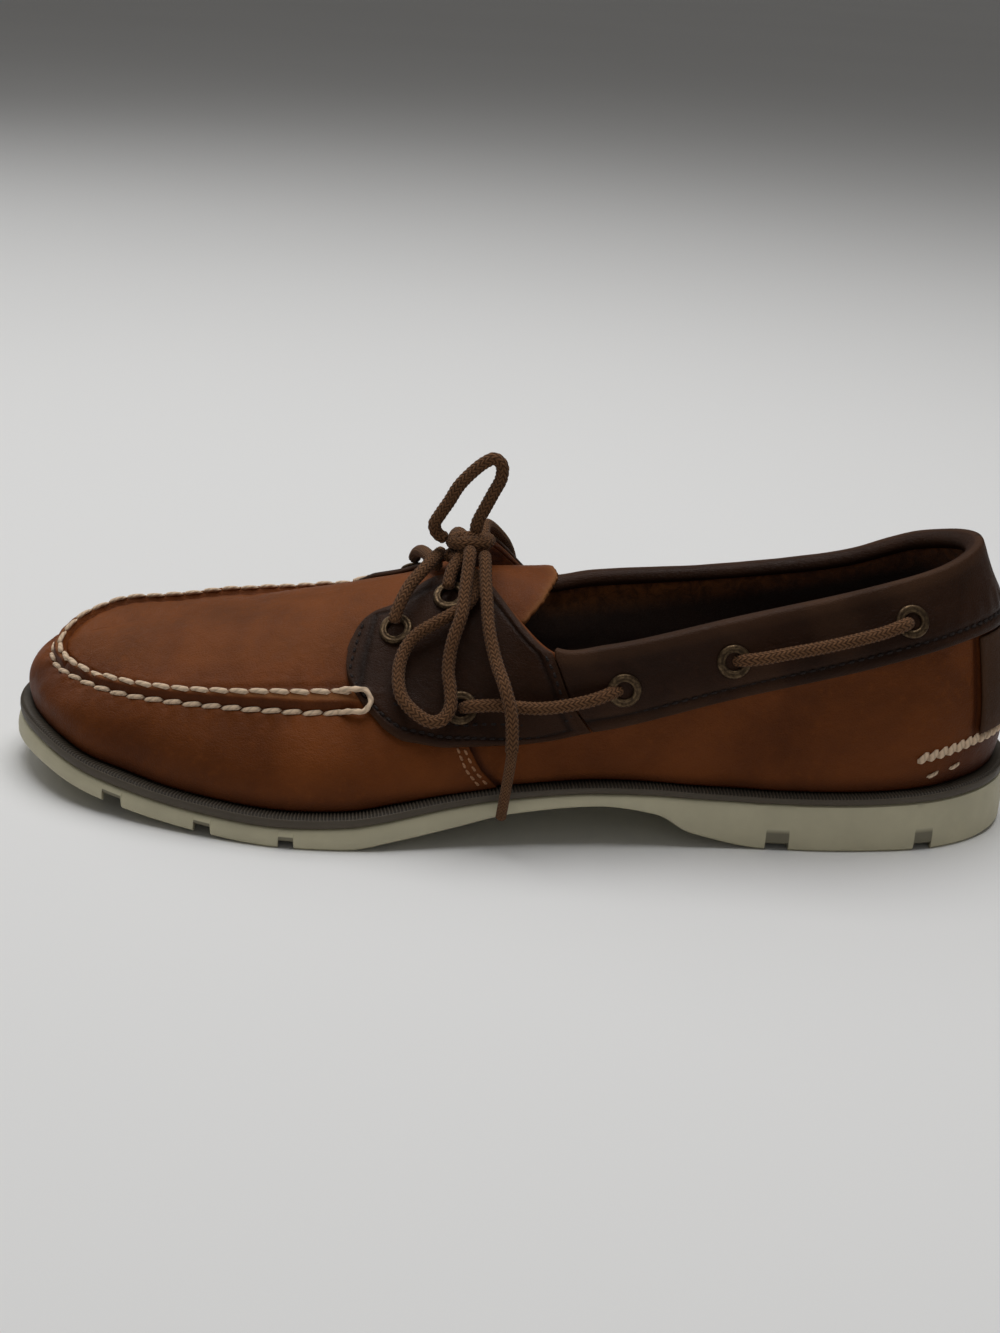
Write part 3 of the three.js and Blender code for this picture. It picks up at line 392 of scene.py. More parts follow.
def place(at, y, z):
    """Points from their share of the length, from the heel, and their two other measures."""
    at, y, z = np.broadcast_arrays(np.asarray(at, float), y, z)
    return np.stack([LENGTH / 2 - at * LENGTH, y + SIDE_SHIFT, z], -1)


def share_at(x):
    """The share of the length at a place along the shoe."""
    return np.clip(0.5 - x / LENGTH, 0, 1)


def loop_of(table):
    """A closed curve round the shoe: heel, outer side, toe, inner side."""
    rows = np.array(table, float)
    heights = rows[:, 3:5] if rows.shape[1] > 3 else np.zeros((len(rows), 2))
    outer = place(rows[:, 0], -rows[:, 1], heights[:, 0])
    inner = place(rows[1:-1, 0], rows[1:-1, 2], heights[1:-1, 1])
    return spans(np.vstack([outer, inner[::-1]]), True)


outline_loop, shoulder_loop, edge_loop = loop_of(OUTLINE), loop_of(SHOULDER), loop_of(EDGE)


def round_at(loop, lap):
    """Points on a closed curve at laps between 0 and 1."""
    return follow(loop, (lap % 1) * loop.shape[1])


def lap_at(row, side):
    """The lap of a row: outer rows fill its first half, inner ones its second half backwards."""
    return (side * row / (2 * ROW_COUNT)) % 1


def row_at(lap):
    """The row of a lap, the same on both sides."""
    lap = lap % 1
    return 2 * ROW_COUNT * np.minimum(lap, 1 - lap)


def inward(loop, lap):
    """Level unit vectors that point into a closed curve: its direction turned by a quarter."""
    step = 1e-3
    along = round_at(loop, lap + step) - round_at(loop, lap - step)
    return unit(np.stack([along[..., 1], -along[..., 0], np.zeros_like(lap)], -1))


def on_sole(lap, inset, height_at):
    """The sole's outline moved in by `inset`, at a height worked out from its place along the shoe."""
    lap = np.asarray(lap, float)
    point = round_at(outline_loop, lap) + inward(outline_loop, lap) * np.asarray(inset, float)[..., None]
    point[..., 2] = height_at(share_at(point[..., 0]))
    return point


def welt_floor(at):
    """The underside of the welt."""
    return rubber(at) + GAP


def welt_top(at):
    """The top of the welt."""
    return welt_floor(at) + welt_height(at)


def upper_floor(at):
    """The underside of the upper."""
    return welt_top(at) + GAP


# ------------------------------------------------------------------ the upper's surface
def end_point(lap):
    """The upper end of a section: on the edge's curve, or halfway across where the toe is closed."""
    here, across = round_at(edge_loop, lap), round_at(edge_loop, -lap)
    closed = (row_at(lap) >= SPINE_ROW - 1e-9)[..., None]
    return np.where(closed, (here + across) / 2, here)


def bezier(a, b, c, d, s):
    """The cubic Bezier curve with four control points."""
    r = 1 - s
    return a * r**3 + b * 3 * r * r * s + c * 3 * r * s * s + d * s**3


def last_point(lap, rise):
    """A section of two Bezier curves: foot to shoulder for rises up to a half, shoulder to end above it."""
    lap, rise = np.broadcast_arrays(np.asarray(lap, float), np.asarray(rise, float))
    foot = on_sole(lap, np.full(lap.shape, WELT_LEDGE), upper_floor)
    shoulder, end = round_at(shoulder_loop, lap), end_point(lap)
    at = share_at(round_at(outline_loop, lap)[..., 0])

    def leaning(loop, angle):
        angle = np.radians(angle)[..., None]
        return inward(loop, lap) * np.cos(angle) + np.array([0, 0, 1]) * np.sin(angle)

    fuller = TOE_FULLNESS * smoothstep(row_at(lap), SPINE_ROW, ROW_COUNT - 1)
    low = ((HANDLE + fuller) * np.linalg.norm(foot - shoulder, axis=-1))[..., None]
    high = (HANDLE * np.linalg.norm(shoulder - end, axis=-1))[..., None]
    above = np.where(lap % 1 < 0.5, slope_outer(at), slope_inner(at))
    s = rise[..., None]
    lower = bezier(
        foot, foot + leaning(outline_loop, slope_foot(at)) * low,
        shoulder - leaning(shoulder_loop, slope_wall(at)) * low, shoulder, 2 * s,
    )
    higher = bezier(
        shoulder, shoulder + leaning(shoulder_loop, above) * high,
        end - leaning(shoulder_loop, slope_end(at)) * high, end, 2 * s - 1,
    )
    return np.where(s < SHOULDER_RISE, lower, higher)


def side_normal(lap, rise):
    """The outward normal: the cross product of the surface's two directions."""
    step = 1e-3
    around = last_point(lap + step, rise) - last_point(lap - step, rise)
    upwards = last_point(lap, rise + step) - last_point(lap, rise - step)
    return unit(np.cross(upwards, around))


def normal_at(lap, rise):
    """The outward normal, which is the mean of both sides' along the closed toe's spine."""
    lap, rise = np.broadcast_arrays(np.asarray(lap, float), np.asarray(rise, float))
    normal = side_normal(lap, rise)
    closed = ((rise > 1 - 1e-9) & (row_at(lap) >= SPINE_ROW - 1e-9))[..., None]
    return np.where(closed, unit(normal + side_normal(-lap, rise)), normal)


def seam_row(rise):
    """The row at which the vamp's edge crosses a height of the section."""
    return read_table(SIDE_SEAM, rise)


APRON_LAPS = np.linspace(0, 1, 3001)
APRON_DISTANCE = travel_along(last_point(APRON_LAPS, np.full(APRON_LAPS.shape, 0.48)))


def apron_travel(lap):
    """Distance along the apron's seam."""
    return np.interp(lap % 1, APRON_LAPS, APRON_DISTANCE)


def apron_shown(row):
    """1 where the apron has its seam, 0 behind it."""
    return smoothstep(row, *APRON_ROWS)


def apron_edges(lap):
    """The rises of the apron seam's lower and upper edge, which differ along the shoe."""
    station = 2 * ROW_COUNT * (lap % 1)
    return read_table(APRON_LOW, station), read_table(APRON_HIGH, station)


def segment_distance(points, start, end):
    """Distance of points from a straight piece of line, and how near they are to its middle."""
    along = end - start
    share = np.clip(((points - start) @ along) / (along @ along), 0, 1)
    return np.linalg.norm(points - start - share[..., None] * along, axis=-1), share


def rolling(points):
    """Slow swells of worn leather: a sum of four sine waves through space."""
    x, y, z = (points[..., k] for k in range(3))
    return sum(np.sin(x * a + y * b + z * c + d) for a, b, c, d in SWELL_WAVES) / len(SWELL_WAVES)


def apron_relief(lap, rise):
    """The apron's rolled seam: a ridge between its edges, pinched by each stitch and cut across at its
    slits, with a groove along both edges and puckers beyond them."""
    sizes = bpy.context.scene.shoe_sizes
    travel = apron_travel(lap)
    turn = TAU * travel / sizes.stitch_pitch
    pinch = np.cos(turn)
    low, high = apron_edges(lap)
    crest = smoothstep(rise, low + 0.004, low + 0.034) * (1 - smoothstep(rise, high - 0.004, high + 0.02))
    height = crest * (sizes.ridge_height + RIDGE_PINCH * pinch + RIDGE_WANDER * np.sin(turn * 0.37 + 1))
    for row, width in RIDGE_SLITS:
        slit = bell(travel, apron_travel(row / (2 * ROW_COUNT)), width) * (lap % 1 < 0.5)
        height = height - SLIT_DEPTH * crest * slit
    depth, width = LOWER_GROOVE
    height = height - depth * bell(rise, low, width) * (1 + 0.3 * pinch)
    depth, width = UPPER_GROOVE
    height = height - depth * bell(rise, high + 0.026, width)
    for (depth, width), middle in ((LOWER_PUCKERS, low - 0.035), (UPPER_PUCKERS, high + 0.05)):
        height = height + depth * pinch * bell(rise, middle, width)
    return apron_shown(row_at(lap)) * height


def relief(lap, rise, base):
    """Height of the leather's face above the last: the apron's seam, the vamp's lapped edge, the sunken
    seams, the creases and slow swells."""
    lap, rise = np.broadcast_arrays(np.asarray(lap, float), np.asarray(rise, float))
    row, seam = row_at(lap), seam_row(rise)
    lapped = np.where(row > seam, 1 - smoothstep(row, seam + 0.1, seam + 1.4), 0)
    lapped = LAP_STEP * lapped * (1 - smoothstep(rise, 0.36, 0.5))
    below = LAP_GROOVE * bell(row, seam - 0.05, 0.05) * (row < seam) * (rise < 0.45)
    kicker = KICKER_GROOVE * bell(rise, kicker_rise(row), 0.012) * (1 - smoothstep(row, 2.3, 2.5))
    strip = STRIP_GROOVE * bell(row, STRIP_ROW, 0.05) * smoothstep(rise, 0.1, 0.2) * (rise < 0.52)
    swell = SWELL * smoothstep(rise, 0, 0.1) * (1 - smoothstep(rise, 0.97, 1)) * rolling(base)
    return apron_relief(lap, rise) + lapped - below - kicker - strip - creased(base) + swell


def creased(base):
    """Depth of the creases: each a trough of Gaussian section along its line, deepest at its middle."""
    total = np.zeros(base.shape[:-1])
    for side, row_a, rise_a, row_b, rise_b, width, depth in CREASES:
        ends = last_point(lap_at(np.array([row_a, row_b]), side), np.array([rise_a, rise_b]))
        distance, share = segment_distance(base, ends[0], ends[1])
        total += depth * bell(distance, 0, width) * (0.7 + 0.3 * np.sin(math.pi * share))
    return CREASE_MOST * np.tanh(total / CREASE_MOST)


def kicker_rise(row):
    """Height on the section of the thick stitching round the heel."""
    return read_table(KICKER, row)


def on_upper(lap, rise, height=0.0):
    """Points at a height above the leather's face, along its normal."""
    base = last_point(lap, rise)
    return base + normal_at(lap, rise) * (np.asarray(height) + relief(lap, rise, base))[..., None]


# ------------------------------------------------------------------ meshes
MATERIALS = {}
SURFACE_MAP = "surface"
WELD_DISTANCE = 2e-6
STITCH_RINGS = 7


def build(name, layers, finish, *replaced, sharp=None):
    """A piece from grids of points: each layer holds an array (..., rows, columns, 3) in millimetres, and
    may hold the faces to keep, a UV map and painted values. Rows and columns that meet are welded, and
    faces whose volume comes out negative are turned round."""
    points, quads, maps, start = [], [], [], 0
    painted = {}
    for layer in layers:
        grid = layer["points"].reshape((-1,) + layer["points"].shape[-3:])
        count, rows, columns = grid.shape[:3]
        index = np.arange(count * rows * columns).reshape(count, rows, columns) + start
        quad = np.stack([index[:, :-1, :-1], index[:, :-1, 1:], index[:, 1:, 1:], index[:, 1:, :-1]], -1)
        if "keep" in layer:
            quad = quad[:, layer["keep"]]
        if layer.get("turned"):
            quad = quad[..., ::-1]
        points.append(grid.reshape(-1, 3))
        quads.append(quad.reshape(-1, 4))
        maps.append(np.broadcast_to(layer.get("uv", np.zeros(2)), grid.shape[:3] + (2,)).reshape(-1, 2))
        for key, values in layer.get("paint", {}).items():
            painted.setdefault(key, []).append((start, np.broadcast_to(values, grid.shape[:3]).ravel()))
        start += count * rows * columns
    points, quads, maps = np.vstack(points), np.vstack(quads), np.vstack(maps)
    a, b, c, d = (points[quads[:, k]] for k in range(4))
    if (np.cross(a, b) * c).sum() + (np.cross(a, c) * d).sum() < 0:
        quads = quads[:, ::-1]
    mesh = bpy.data.meshes.new(name)
    mesh.vertices.add(len(points))
    mesh.vertices.foreach_set("co", (points * MM).astype(np.float32).ravel())
    mesh.loops.add(quads.size)
    mesh.loops.foreach_set("vertex_index", quads.astype(np.int32).ravel())
    mesh.polygons.add(len(quads))
    mesh.polygons.foreach_set("loop_start", np.arange(0, quads.size, 4, dtype=np.int32))
    mesh.update(calc_edges=True)
    uv_map = mesh.uv_layers.new(name=SURFACE_MAP)
    uv_map.data.foreach_set("uv", maps[quads.ravel()].astype(np.float32).ravel())
    for key, parts in painted.items():
        values = np.zeros(len(points), np.float32)
        for first, part in parts:
            values[first : first + len(part)] = part
        mesh.attributes.new(key, "FLOAT", "POINT").data.foreach_set("value", values)
    work = bmesh.new()
    work.from_mesh(mesh)
    bmesh.ops.remove_doubles(work, verts=work.verts, dist=WELD_DISTANCE)
    work.to_mesh(mesh)
    work.free()
    mesh.shade_smooth()
    if sharp:
        mesh.set_sharp_from_angle(angle=math.radians(sharp))
    mesh.materials.append(MATERIALS[finish])
    made = bpy.data.objects.new(name, mesh)
    bpy.context.scene.collection.objects.link(made)
    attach(made, BODY)
    if replaced:
        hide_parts(*replaced)
    return made


def framed(layer, middle, bulge):
    """A grid with a border where it meets its other face: the middle's edge moved outwards."""
    big = np.empty((layer.shape[0] + 2, layer.shape[1] + 2, 3))
    big[1:-1, 1:-1] = layer
    for edge, near in ((0, 1), (-1, -2)):
        big[edge, 1:-1] = middle[edge] + unit(middle[edge] - middle[near]) * bulge
        big[1:-1, edge] = middle[:, edge] + unit(middle[:, edge] - middle[:, near]) * bulge
    for row in (0, -1):
        for side in (0, -1):
            big[row, side] = (big[row, (1, -2)[side]] + big[(1, -2)[row], side]) / 2
    return big


def slab(face, back, bulge, wear_and_highlight, painted_shade=None):
    """A closed piece between two grids, with its edges rounded over."""
    middle = (face + back) / 2
    painted_shade = np.zeros(wear_and_highlight.shape) if painted_shade is None else painted_shade
    paint = {"wear_and_highlight": np.pad(wear_and_highlight, 1, mode="edge"), "painted_shade": np.pad(painted_shade, 1, mode="edge")}
    return [
        {"points": framed(face, middle, bulge), "paint": paint},
        {"points": framed(back, middle, bulge), "paint": paint, "turned": True},
    ]


def carried_frames(points):
    """Tangents along a line, and normals that turn as little as they can from one ring to the next."""
    tangents = unit(np.gradient(points, axis=0))
    normals = np.empty_like(points)
    normal = np.cross(tangents[0], (0.3, 0.5, 0.8))
    for k, tangent in enumerate(tangents):
        normal = normal - tangent * (normal @ tangent)
        normal = normal / np.linalg.norm(normal)
        normals[k] = normal
    return tangents, normals


def braid(around, along, columns, pitch):
    """Height of a round braid between 0 and 1: columns along the cord whose strands lean to either side
    by turns, so that they meet in a row of Vs."""
    lean = np.abs(((around * columns) % 1) - 0.5) * 2
    ply = np.cos(TAU * (along / pitch + 0.9 * lean)) * 0.5 + 0.5
    return ply * (1 - 0.6 * np.exp(-(((lean - 0.5) / 0.5 - np.sign(lean - 0.5)) / 0.35) ** 2))


def tube(points, diameter, sides=36, swell=BRAID_RELIEF, columns=6, pitch=1.5):
    """A round cord along evenly spaced points: rings of the diameter in the plane across the path, raised
    by the braid, and drawn together at its ends as a quarter of an ellipse."""
    tangents, normals = carried_frames(points)
    sideways = np.cross(tangents, normals)
    along = travel_along(points)[:, None]
    around = np.linspace(0, 1, sides + 1)[None, :]
    radius = diameter / 2 + swell * (braid(around, along, columns, pitch) - 1)
    nearest = np.clip(np.minimum(along, along[-1] - along) / (diameter / 3), 0, 1)
    radius = radius * np.sqrt(nearest * (2 - nearest))
    angle = TAU * around
    spread = normals[:, None] * np.cos(angle)[..., None] + sideways[:, None] * np.sin(angle)[..., None]
    uv = np.stack(np.broadcast_arrays(around, along / 10), -1)
    return {"points": points[:, None] + spread * radius[..., None], "uv": uv}


def stitch_row(line, normals, pitch, length, thick, slant, sink, phase=0.5):
    """Stitches along a line: each is a small spindle whose ends dip into the leather. Its section is an
    ellipse, and its thickness falls to nothing at both ends as the square root of a parabola."""
    travelled = travel_along(line)
    count = max(1, int(travelled[-1] / pitch))
    centres = (np.arange(count) + phase) * travelled[-1] / count
    middle = read_at(centres, travelled, line)
    tangent = unit(read_at(centres, travelled, np.gradient(line, axis=0)))
    normal = unit(read_at(centres, travelled, normals))
    tangent = unit(tangent - normal * (tangent * normal).sum(1, keepdims=True))
    sideways = np.cross(normal, tangent)
    leaning = tangent * math.cos(slant) + sideways * math.sin(slant)
    across = np.cross(normal, leaning)
    t = np.linspace(-1, 1, STITCH_RINGS)[:, None]
    angle = np.linspace(0, TAU, STITCH_RINGS)[None, :]
    fat = np.sqrt(np.clip(1 - t**4, 0, 1)) * (1 - 0.18 * t) * thick / 2
    x = np.broadcast_to(t * length / 2, (STITCH_RINGS, STITCH_RINGS))
    y, z = fat * np.cos(angle), fat * 0.8 * np.sin(angle) - sink * t**2
    local = x[..., None] * leaning[:, None, None] + y[..., None] * across[:, None, None]
    local = local + z[..., None] * normal[:, None, None]
    uv = np.stack(np.broadcast_arrays(angle / TAU, (t + 1) / 2), -1)
    return {"points": middle[:, None, None] + local, "uv": uv}


def upper_line(spots, height, count):
    """A smooth line over the upper through spots given as station and rise, where stations past the toe
    go on down the inner side, and its normals."""
    curve = spans(np.array(spots, float), False)
    spot = follow(curve, np.linspace(0, curve.shape[1], count))
    lap, rise = (spot[:, 0] / (2 * ROW_COUNT)) % 1, spot[:, 1]
    return on_upper(lap, rise, height), normal_at(lap, rise)


# ------------------------------------------------------------------ materials
class Wire:
    """A socket in a material's tree; arithmetic on it adds Math nodes."""

    def __init__(self, finish, socket):
        self.finish, self.socket = finish, socket

    def __add__(self, other):
        return self.finish.math("ADD", self, other)

    def __rsub__(self, other):
        return self.finish.math("SUBTRACT", other, self)

    def __mul__(self, other):
        return self.finish.math("MULTIPLY", self, other)

    __radd__ = __add__
    __rmul__ = __mul__


class Finish:
    """A material being made around its Principled shader."""

    def __init__(self, name, **constants):
        self.material = bpy.data.materials.new(name)
        self.material.use_nodes = True
        self.tree = self.material.node_tree
        self.surface = self.tree.nodes["Principled BSDF"]
        for socket, value in constants.items():
            self.surface.inputs[socket.replace("_", " ")].default_value = value
        self.place = self.node("ShaderNodeTexCoord", output="Object")

    def node(self, kind, settings=None, values=None, output=0):
        """Any node: its settings first, then the values or links of its sockets."""
        made = self.tree.nodes.new(kind)
        for key, value in (settings or {}).items():
            setattr(made, key, value)
        for key, value in (values or {}).items():
            self.feed(made.inputs[key], value)
        return Wire(self, made.outputs[output])

    def feed(self, socket, value):
        """Links a wire to a socket, or sets its value."""
        if isinstance(value, Wire):
            self.tree.links.new(value.socket, socket)
        else:
            socket.default_value = value

    def math(self, operation, *values):
        """A Math node of an operation."""
        return self.node("ShaderNodeMath", {"operation": operation}, dict(enumerate(values)))

    def mixed(self, share, low, high):
        """A blend of two colours."""
        low, high = (value if isinstance(value, Wire) else (*value, 1.0) for value in (low, high))
        return self.node("ShaderNodeMix", {"data_type": "RGBA"}, {0: share, 6: low, 7: high}, 2)

    def noise(self, size, detail=3.0, roughness=0.55, distortion=0.0, where=None):
        """Noise whose patches are about `size` millimetres wide."""
        values = {"Vector": where or self.place, "Scale": 1000 / size, "Detail": detail,
                  "Roughness": roughness, "Distortion": distortion}
        return self.node("ShaderNodeTexNoise", {}, values)

    def ramp(self, value, low, high):
        """0 below low, 1 above high and smooth between."""
        settings = {"interpolation_type": "SMOOTHSTEP"}
        return self.node("ShaderNodeMapRange", settings, {0: value, 1: low, 2: high, 3: 0.0, 4: 1.0})

    def painted(self, name):
        """A value painted on the piece's points."""
        return self.node("ShaderNodeAttribute", {"attribute_name": name}, output="Fac")

    def bump(self, height, depth, under=None):
        """A bump of `depth` millimetres for heights between 0 and 1."""
        values = {"Height": height, "Distance": depth * MM, "Strength": 1.0}
        if under:
            values["Normal"] = under
        return self.node("ShaderNodeBump", {}, values)

    def surface_map(self):
        """The two coordinates of the piece's own map."""
        where = self.node("ShaderNodeUVMap", {"uv_map": SURFACE_MAP})
        parts = self.tree.nodes.new("ShaderNodeSeparateXYZ")
        self.feed(parts.inputs[0], where)
        return Wire(self, parts.outputs[0]), Wire(self, parts.outputs[1])

    def done(self, colour, roughness, normal=None):
        """Feeds the shader and gives the material."""
        self.feed(self.surface.inputs["Base Color"], colour)
        self.feed(self.surface.inputs["Roughness"], roughness)
        if normal:
            self.feed(self.surface.inputs["Normal"], normal)
        return self.material


def shade(colour, factor):
    """A colour made lighter or darker by a factor."""
    return tuple(min(1.0, part * factor) for part in colour)


def smooth_leather(name, colour, wear_and_highlight, shade_tone, gloss):
    """Oiled leather: mottled by slow noise, with pores and fine wrinkles in its bump, lighter where the
    paint marks rubbed wear or a painted highlight, and darker where it marks painted shade."""
    finish = Finish(name, Specular_IOR_Level=0.1)
    patches = finish.noise(38, 4, 0.6, 0.4)
    flecks = finish.noise(2.4, 3, 0.6)
    pores = finish.node("ShaderNodeTexVoronoi", {"feature": "DISTANCE_TO_EDGE"},
                        {"Vector": finish.place, "Scale": 1000 / 0.9, "Randomness": 1.0})
    wrinkles = finish.noise(1.5, 4, 0.6, 1.2)
    base = finish.mixed(finish.ramp(patches, 0.3, 0.72), shade(colour, 0.68), shade(colour, 1.2))
    base = finish.mixed(finish.ramp(flecks, 0.52, 0.72) * 0.35, base, shade(colour, 1.32))
    # Lighter where rubbed and where a highlight is painted, then darker where shade is painted.
    base = finish.mixed(finish.painted("wear_and_highlight"), base, wear_and_highlight)
    base = finish.mixed(finish.painted("painted_shade"), base, shade_tone)
    normal = finish.bump(finish.ramp(pores, 0.0, 0.16) * 0.6 + wrinkles, 0.1)
    normal = finish.bump(finish.noise(7, 4, 0.6, 0.8), 0.4, normal)
    rough = finish.ramp(flecks, 0.3, 0.8) * 0.12 + finish.painted("wear_and_highlight") * 0.22 + gloss
    return finish.done(base, rough, normal)


def napped_leather(name, colour):
    """Suede: short fibres that lean in patches, in colour and in bump."""
    finish = Finish(name, Specular_IOR_Level=0.2, Sheen_Weight=0.25, Sheen_Roughness=0.5)
    fibres = finish.noise(0.7, 5, 0.7, 1.5)
    tufts = finish.noise(4.5, 4, 0.65, 1.0)
    base = finish.mixed(finish.ramp(tufts, 0.32, 0.7), shade(colour, 0.5), shade(colour, 1.3))
    base = finish.mixed(finish.ramp(fibres, 0.5, 0.75) * 0.6, base, shade(colour, 1.9))
    # Painted shade: the suede goes nearly black deep inside the shoe and over the insole.
    base = finish.mixed(finish.painted("painted_shade"), base, shade(colour, 0.06))
    normal = finish.bump(fibres + tufts, 0.45)
    return finish.done(base, finish.ramp(fibres, 0.2, 0.9) * 0.1 + 0.85, normal)


def moulded_rubber(name, colour, shade_tint, gloss):
    """Moulded rubber: nearly even, with faint clouding, a fine skin and painted shade in its hollows."""
    finish = Finish(name, Specular_IOR_Level=0.4)
    clouds = finish.noise(24, 4, 0.6)
    skin = finish.noise(0.9, 3, 0.6)
    scuffs = finish.noise(6, 6, 0.75, 2.0)
    base = finish.mixed(finish.ramp(clouds, 0.3, 0.75), shade(colour, 0.9), shade(colour, 1.06))
    base = finish.mixed(finish.ramp(scuffs, 0.6, 0.8) * 0.3, base, shade(colour, 0.72))
    # Painted shade in the sole's channels and cuts, between the welt's ribs and under the upper.
    base = finish.mixed(finish.painted("painted_shade"), base, shade_tint)
    normal = finish.bump(skin + clouds, 0.05)
    return finish.done(base, finish.ramp(scuffs, 0.3, 0.8) * 0.14 + gloss, normal)


def old_brass(name, colour, patina):
    """Brass darkened by patina in patches."""
    finish = Finish(name, Metallic=0.9, Specular_IOR_Level=0.5)
    stains = finish.noise(1.6, 5, 0.7, 0.8)
    base = finish.mixed(finish.ramp(stains, 0.35, 0.7), patina, colour)
    # Painted shade down the barrel, under the flange and in the groove between the rims.
    base = finish.mixed(finish.painted("painted_shade"), base, shade(patina, 0.35))
    normal = finish.bump(stains, 0.06)
    return finish.done(base, (1 - finish.ramp(stains, 0.3, 0.7)) * 0.25 + 0.34, normal)


def braided_cord(name, colour, columns, pitch):
    """Round braid: each strand with a painted highlight along its middle and painted shade where it goes
    under, with fine threads along it. The map holds the turn round the cord and centimetres along it."""
    finish = Finish(name, Specular_IOR_Level=0.12, Sheen_Weight=0.05)
    around, along = finish.surface_map()
    lean = finish.math("PINGPONG", around * columns, 0.5) * 2.0
    ply = finish.math("COSINE", (along * (10 / pitch) + lean * 0.9) * TAU) * 0.5 + 0.5
    edge = finish.math("PINGPONG", lean, 0.5)
    height = ply * finish.ramp(edge, -0.1, 0.2)
    fuzz = finish.noise(0.8, 3, 0.7)
    flecks = finish.noise(1.8, 2, 0.6)
    # Painted shade between the strands and a painted highlight along their middles.
    base = finish.mixed(finish.ramp(height, 0.0, 0.7), shade(colour, 0.28), shade(colour, 1.1))
    base = finish.mixed(finish.ramp(flecks, 0.45, 0.65) * 0.35, base, shade(colour, 0.6))
    base = finish.mixed(finish.ramp(fuzz, 0.5, 0.8) * 0.45, base, shade(colour, 1.8))
    normal = finish.bump(height + fuzz * 0.3, 0.2)
    return finish.done(base, finish.ramp(fuzz, 0.2, 0.8) * 0.1 + 0.78, normal)


def sewing_thread(name, colour, wear_and_highlight):
    """Waxed thread of twisted plies, with painted shade between them."""
    finish = Finish(name, Specular_IOR_Level=0.3)
    around, along = finish.surface_map()
    plies = finish.math("SINE", around * TAU * 2.0 + along * (TAU * 2.5)) * 0.5 + 0.5
    grime = finish.noise(3, 4, 0.7)
    # Painted shade between the plies.
    base = finish.mixed(finish.ramp(plies, 0.0, 0.45), shade(colour, 0.74), colour)
    base = finish.mixed(finish.ramp(grime, 0.5, 0.8) * 0.5, base, wear_and_highlight)
    normal = finish.bump(plies, 0.12)
    return finish.done(base, finish.ramp(grime, 0.2, 0.8) * 0.1 + 0.68, normal)


# ------------------------------------------------------------------ settings
def size_property(name, description, default, most):
    """A size in millimetres that the user can change."""
    return bpy.props.FloatProperty(
        name=name, description=description + ", in millimetres", default=default, min=0.4, max=most,
    )


def colour_property(name, description, default):
    """A colour that the user can change."""
    return bpy.props.FloatVectorProperty(
        name=name, description=description, default=default, size=3, min=0, max=1, subtype="COLOR",
    )


class ShoeSizes(bpy.types.PropertyGroup):
    """Sizes in millimetres that change the looks and not the pattern."""

    ridge_height: size_property("Apron seam height", "Height of the rolled seam round the toe's plug", 2.0, 5)
    stitch_pitch: size_property("Apron stitch pitch", "Distance between the apron's hand stitches", 5.9, 10)
    thread: size_property("Thread", "Thickness of the apron's thread", 1.55, 3)
    lace: size_property("Lace", "Diameter of the braided lace", 4.0, 6)
    aglet: size_property("Aglet", "Diameter of the sleeves at the lace's ends", 3.2, 5)
    rib_pitch: size_property("Welt rib pitch", "Distance between the ribs of the welt", 1.05, 3)


class ShoeColours(bpy.types.PropertyGroup):
    """Base colours of the shoe's materials."""

    tan: colour_property("Tan leather", "Vamp, plug, quarters and tongue", (0.162, 0.044, 0.0085))
    # Rubbed wear, and the painted highlight on the plug's top.
    tan_rubbed_and_lit: colour_property("Worn tan", "Rubbed edges of the tan leather", (0.255, 0.102, 0.036))
    # Colour of the painted shade along the seams, in the grooves and creases and at the foot.
    tan_shaded: colour_property("Dark tan", "Seams and hollows of the tan leather", (0.045, 0.0105, 0.003))
    brown: colour_property("Brown leather", "Collar, eyestays and heel strip", (0.032, 0.0128, 0.006))
    # Rubbed wear, and the painted highlight along the collar's rolled top.
    brown_rubbed_and_lit: colour_property("Worn brown", "Rubbed edges of the brown leather", (0.08, 0.037, 0.018))
    # Colour of the painted shade in the trim's stitching grooves and down the back seam.
    brown_shaded: colour_property("Dark brown", "Seams of the brown leather", (0.006, 0.003, 0.002))
    suede: colour_property("Suede", "Lining and insole", (0.27, 0.095, 0.024))
    rubber: colour_property("Rubber", "Sole", (0.55, 0.505, 0.35))
    # Colour of the painted shade in the sole's channels and cuts.
    rubber_shaded: colour_property("Dirty rubber", "Hollows of the sole", (0.05, 0.04, 0.025))
    welt: colour_property("Welt", "Ribbed strip round the upper", (0.082, 0.064, 0.044))
    # Colour of the painted shade between the welt's ribs and under the upper.
    welt_shaded: colour_property("Dirty welt", "Gaps between the welt's ribs", (0.016, 0.012, 0.009))
    brass: colour_property("Brass", "Eyelets", (0.17, 0.112, 0.06))
    patina: colour_property("Patina", "Dark film on the eyelets", (0.055, 0.034, 0.019))
    lace: colour_property("Lace", "Braided lace", (0.165, 0.078, 0.035))
    thread: colour_property("Thread", "Apron and heel stitching", (0.74, 0.55, 0.38))
    tan_thread: colour_property("Tan thread", "Fine stitching of the vamp's seam", (0.4, 0.2, 0.1))
    dark_thread: colour_property("Dark thread", "Stitching of the brown trim", (0.016, 0.009, 0.007))


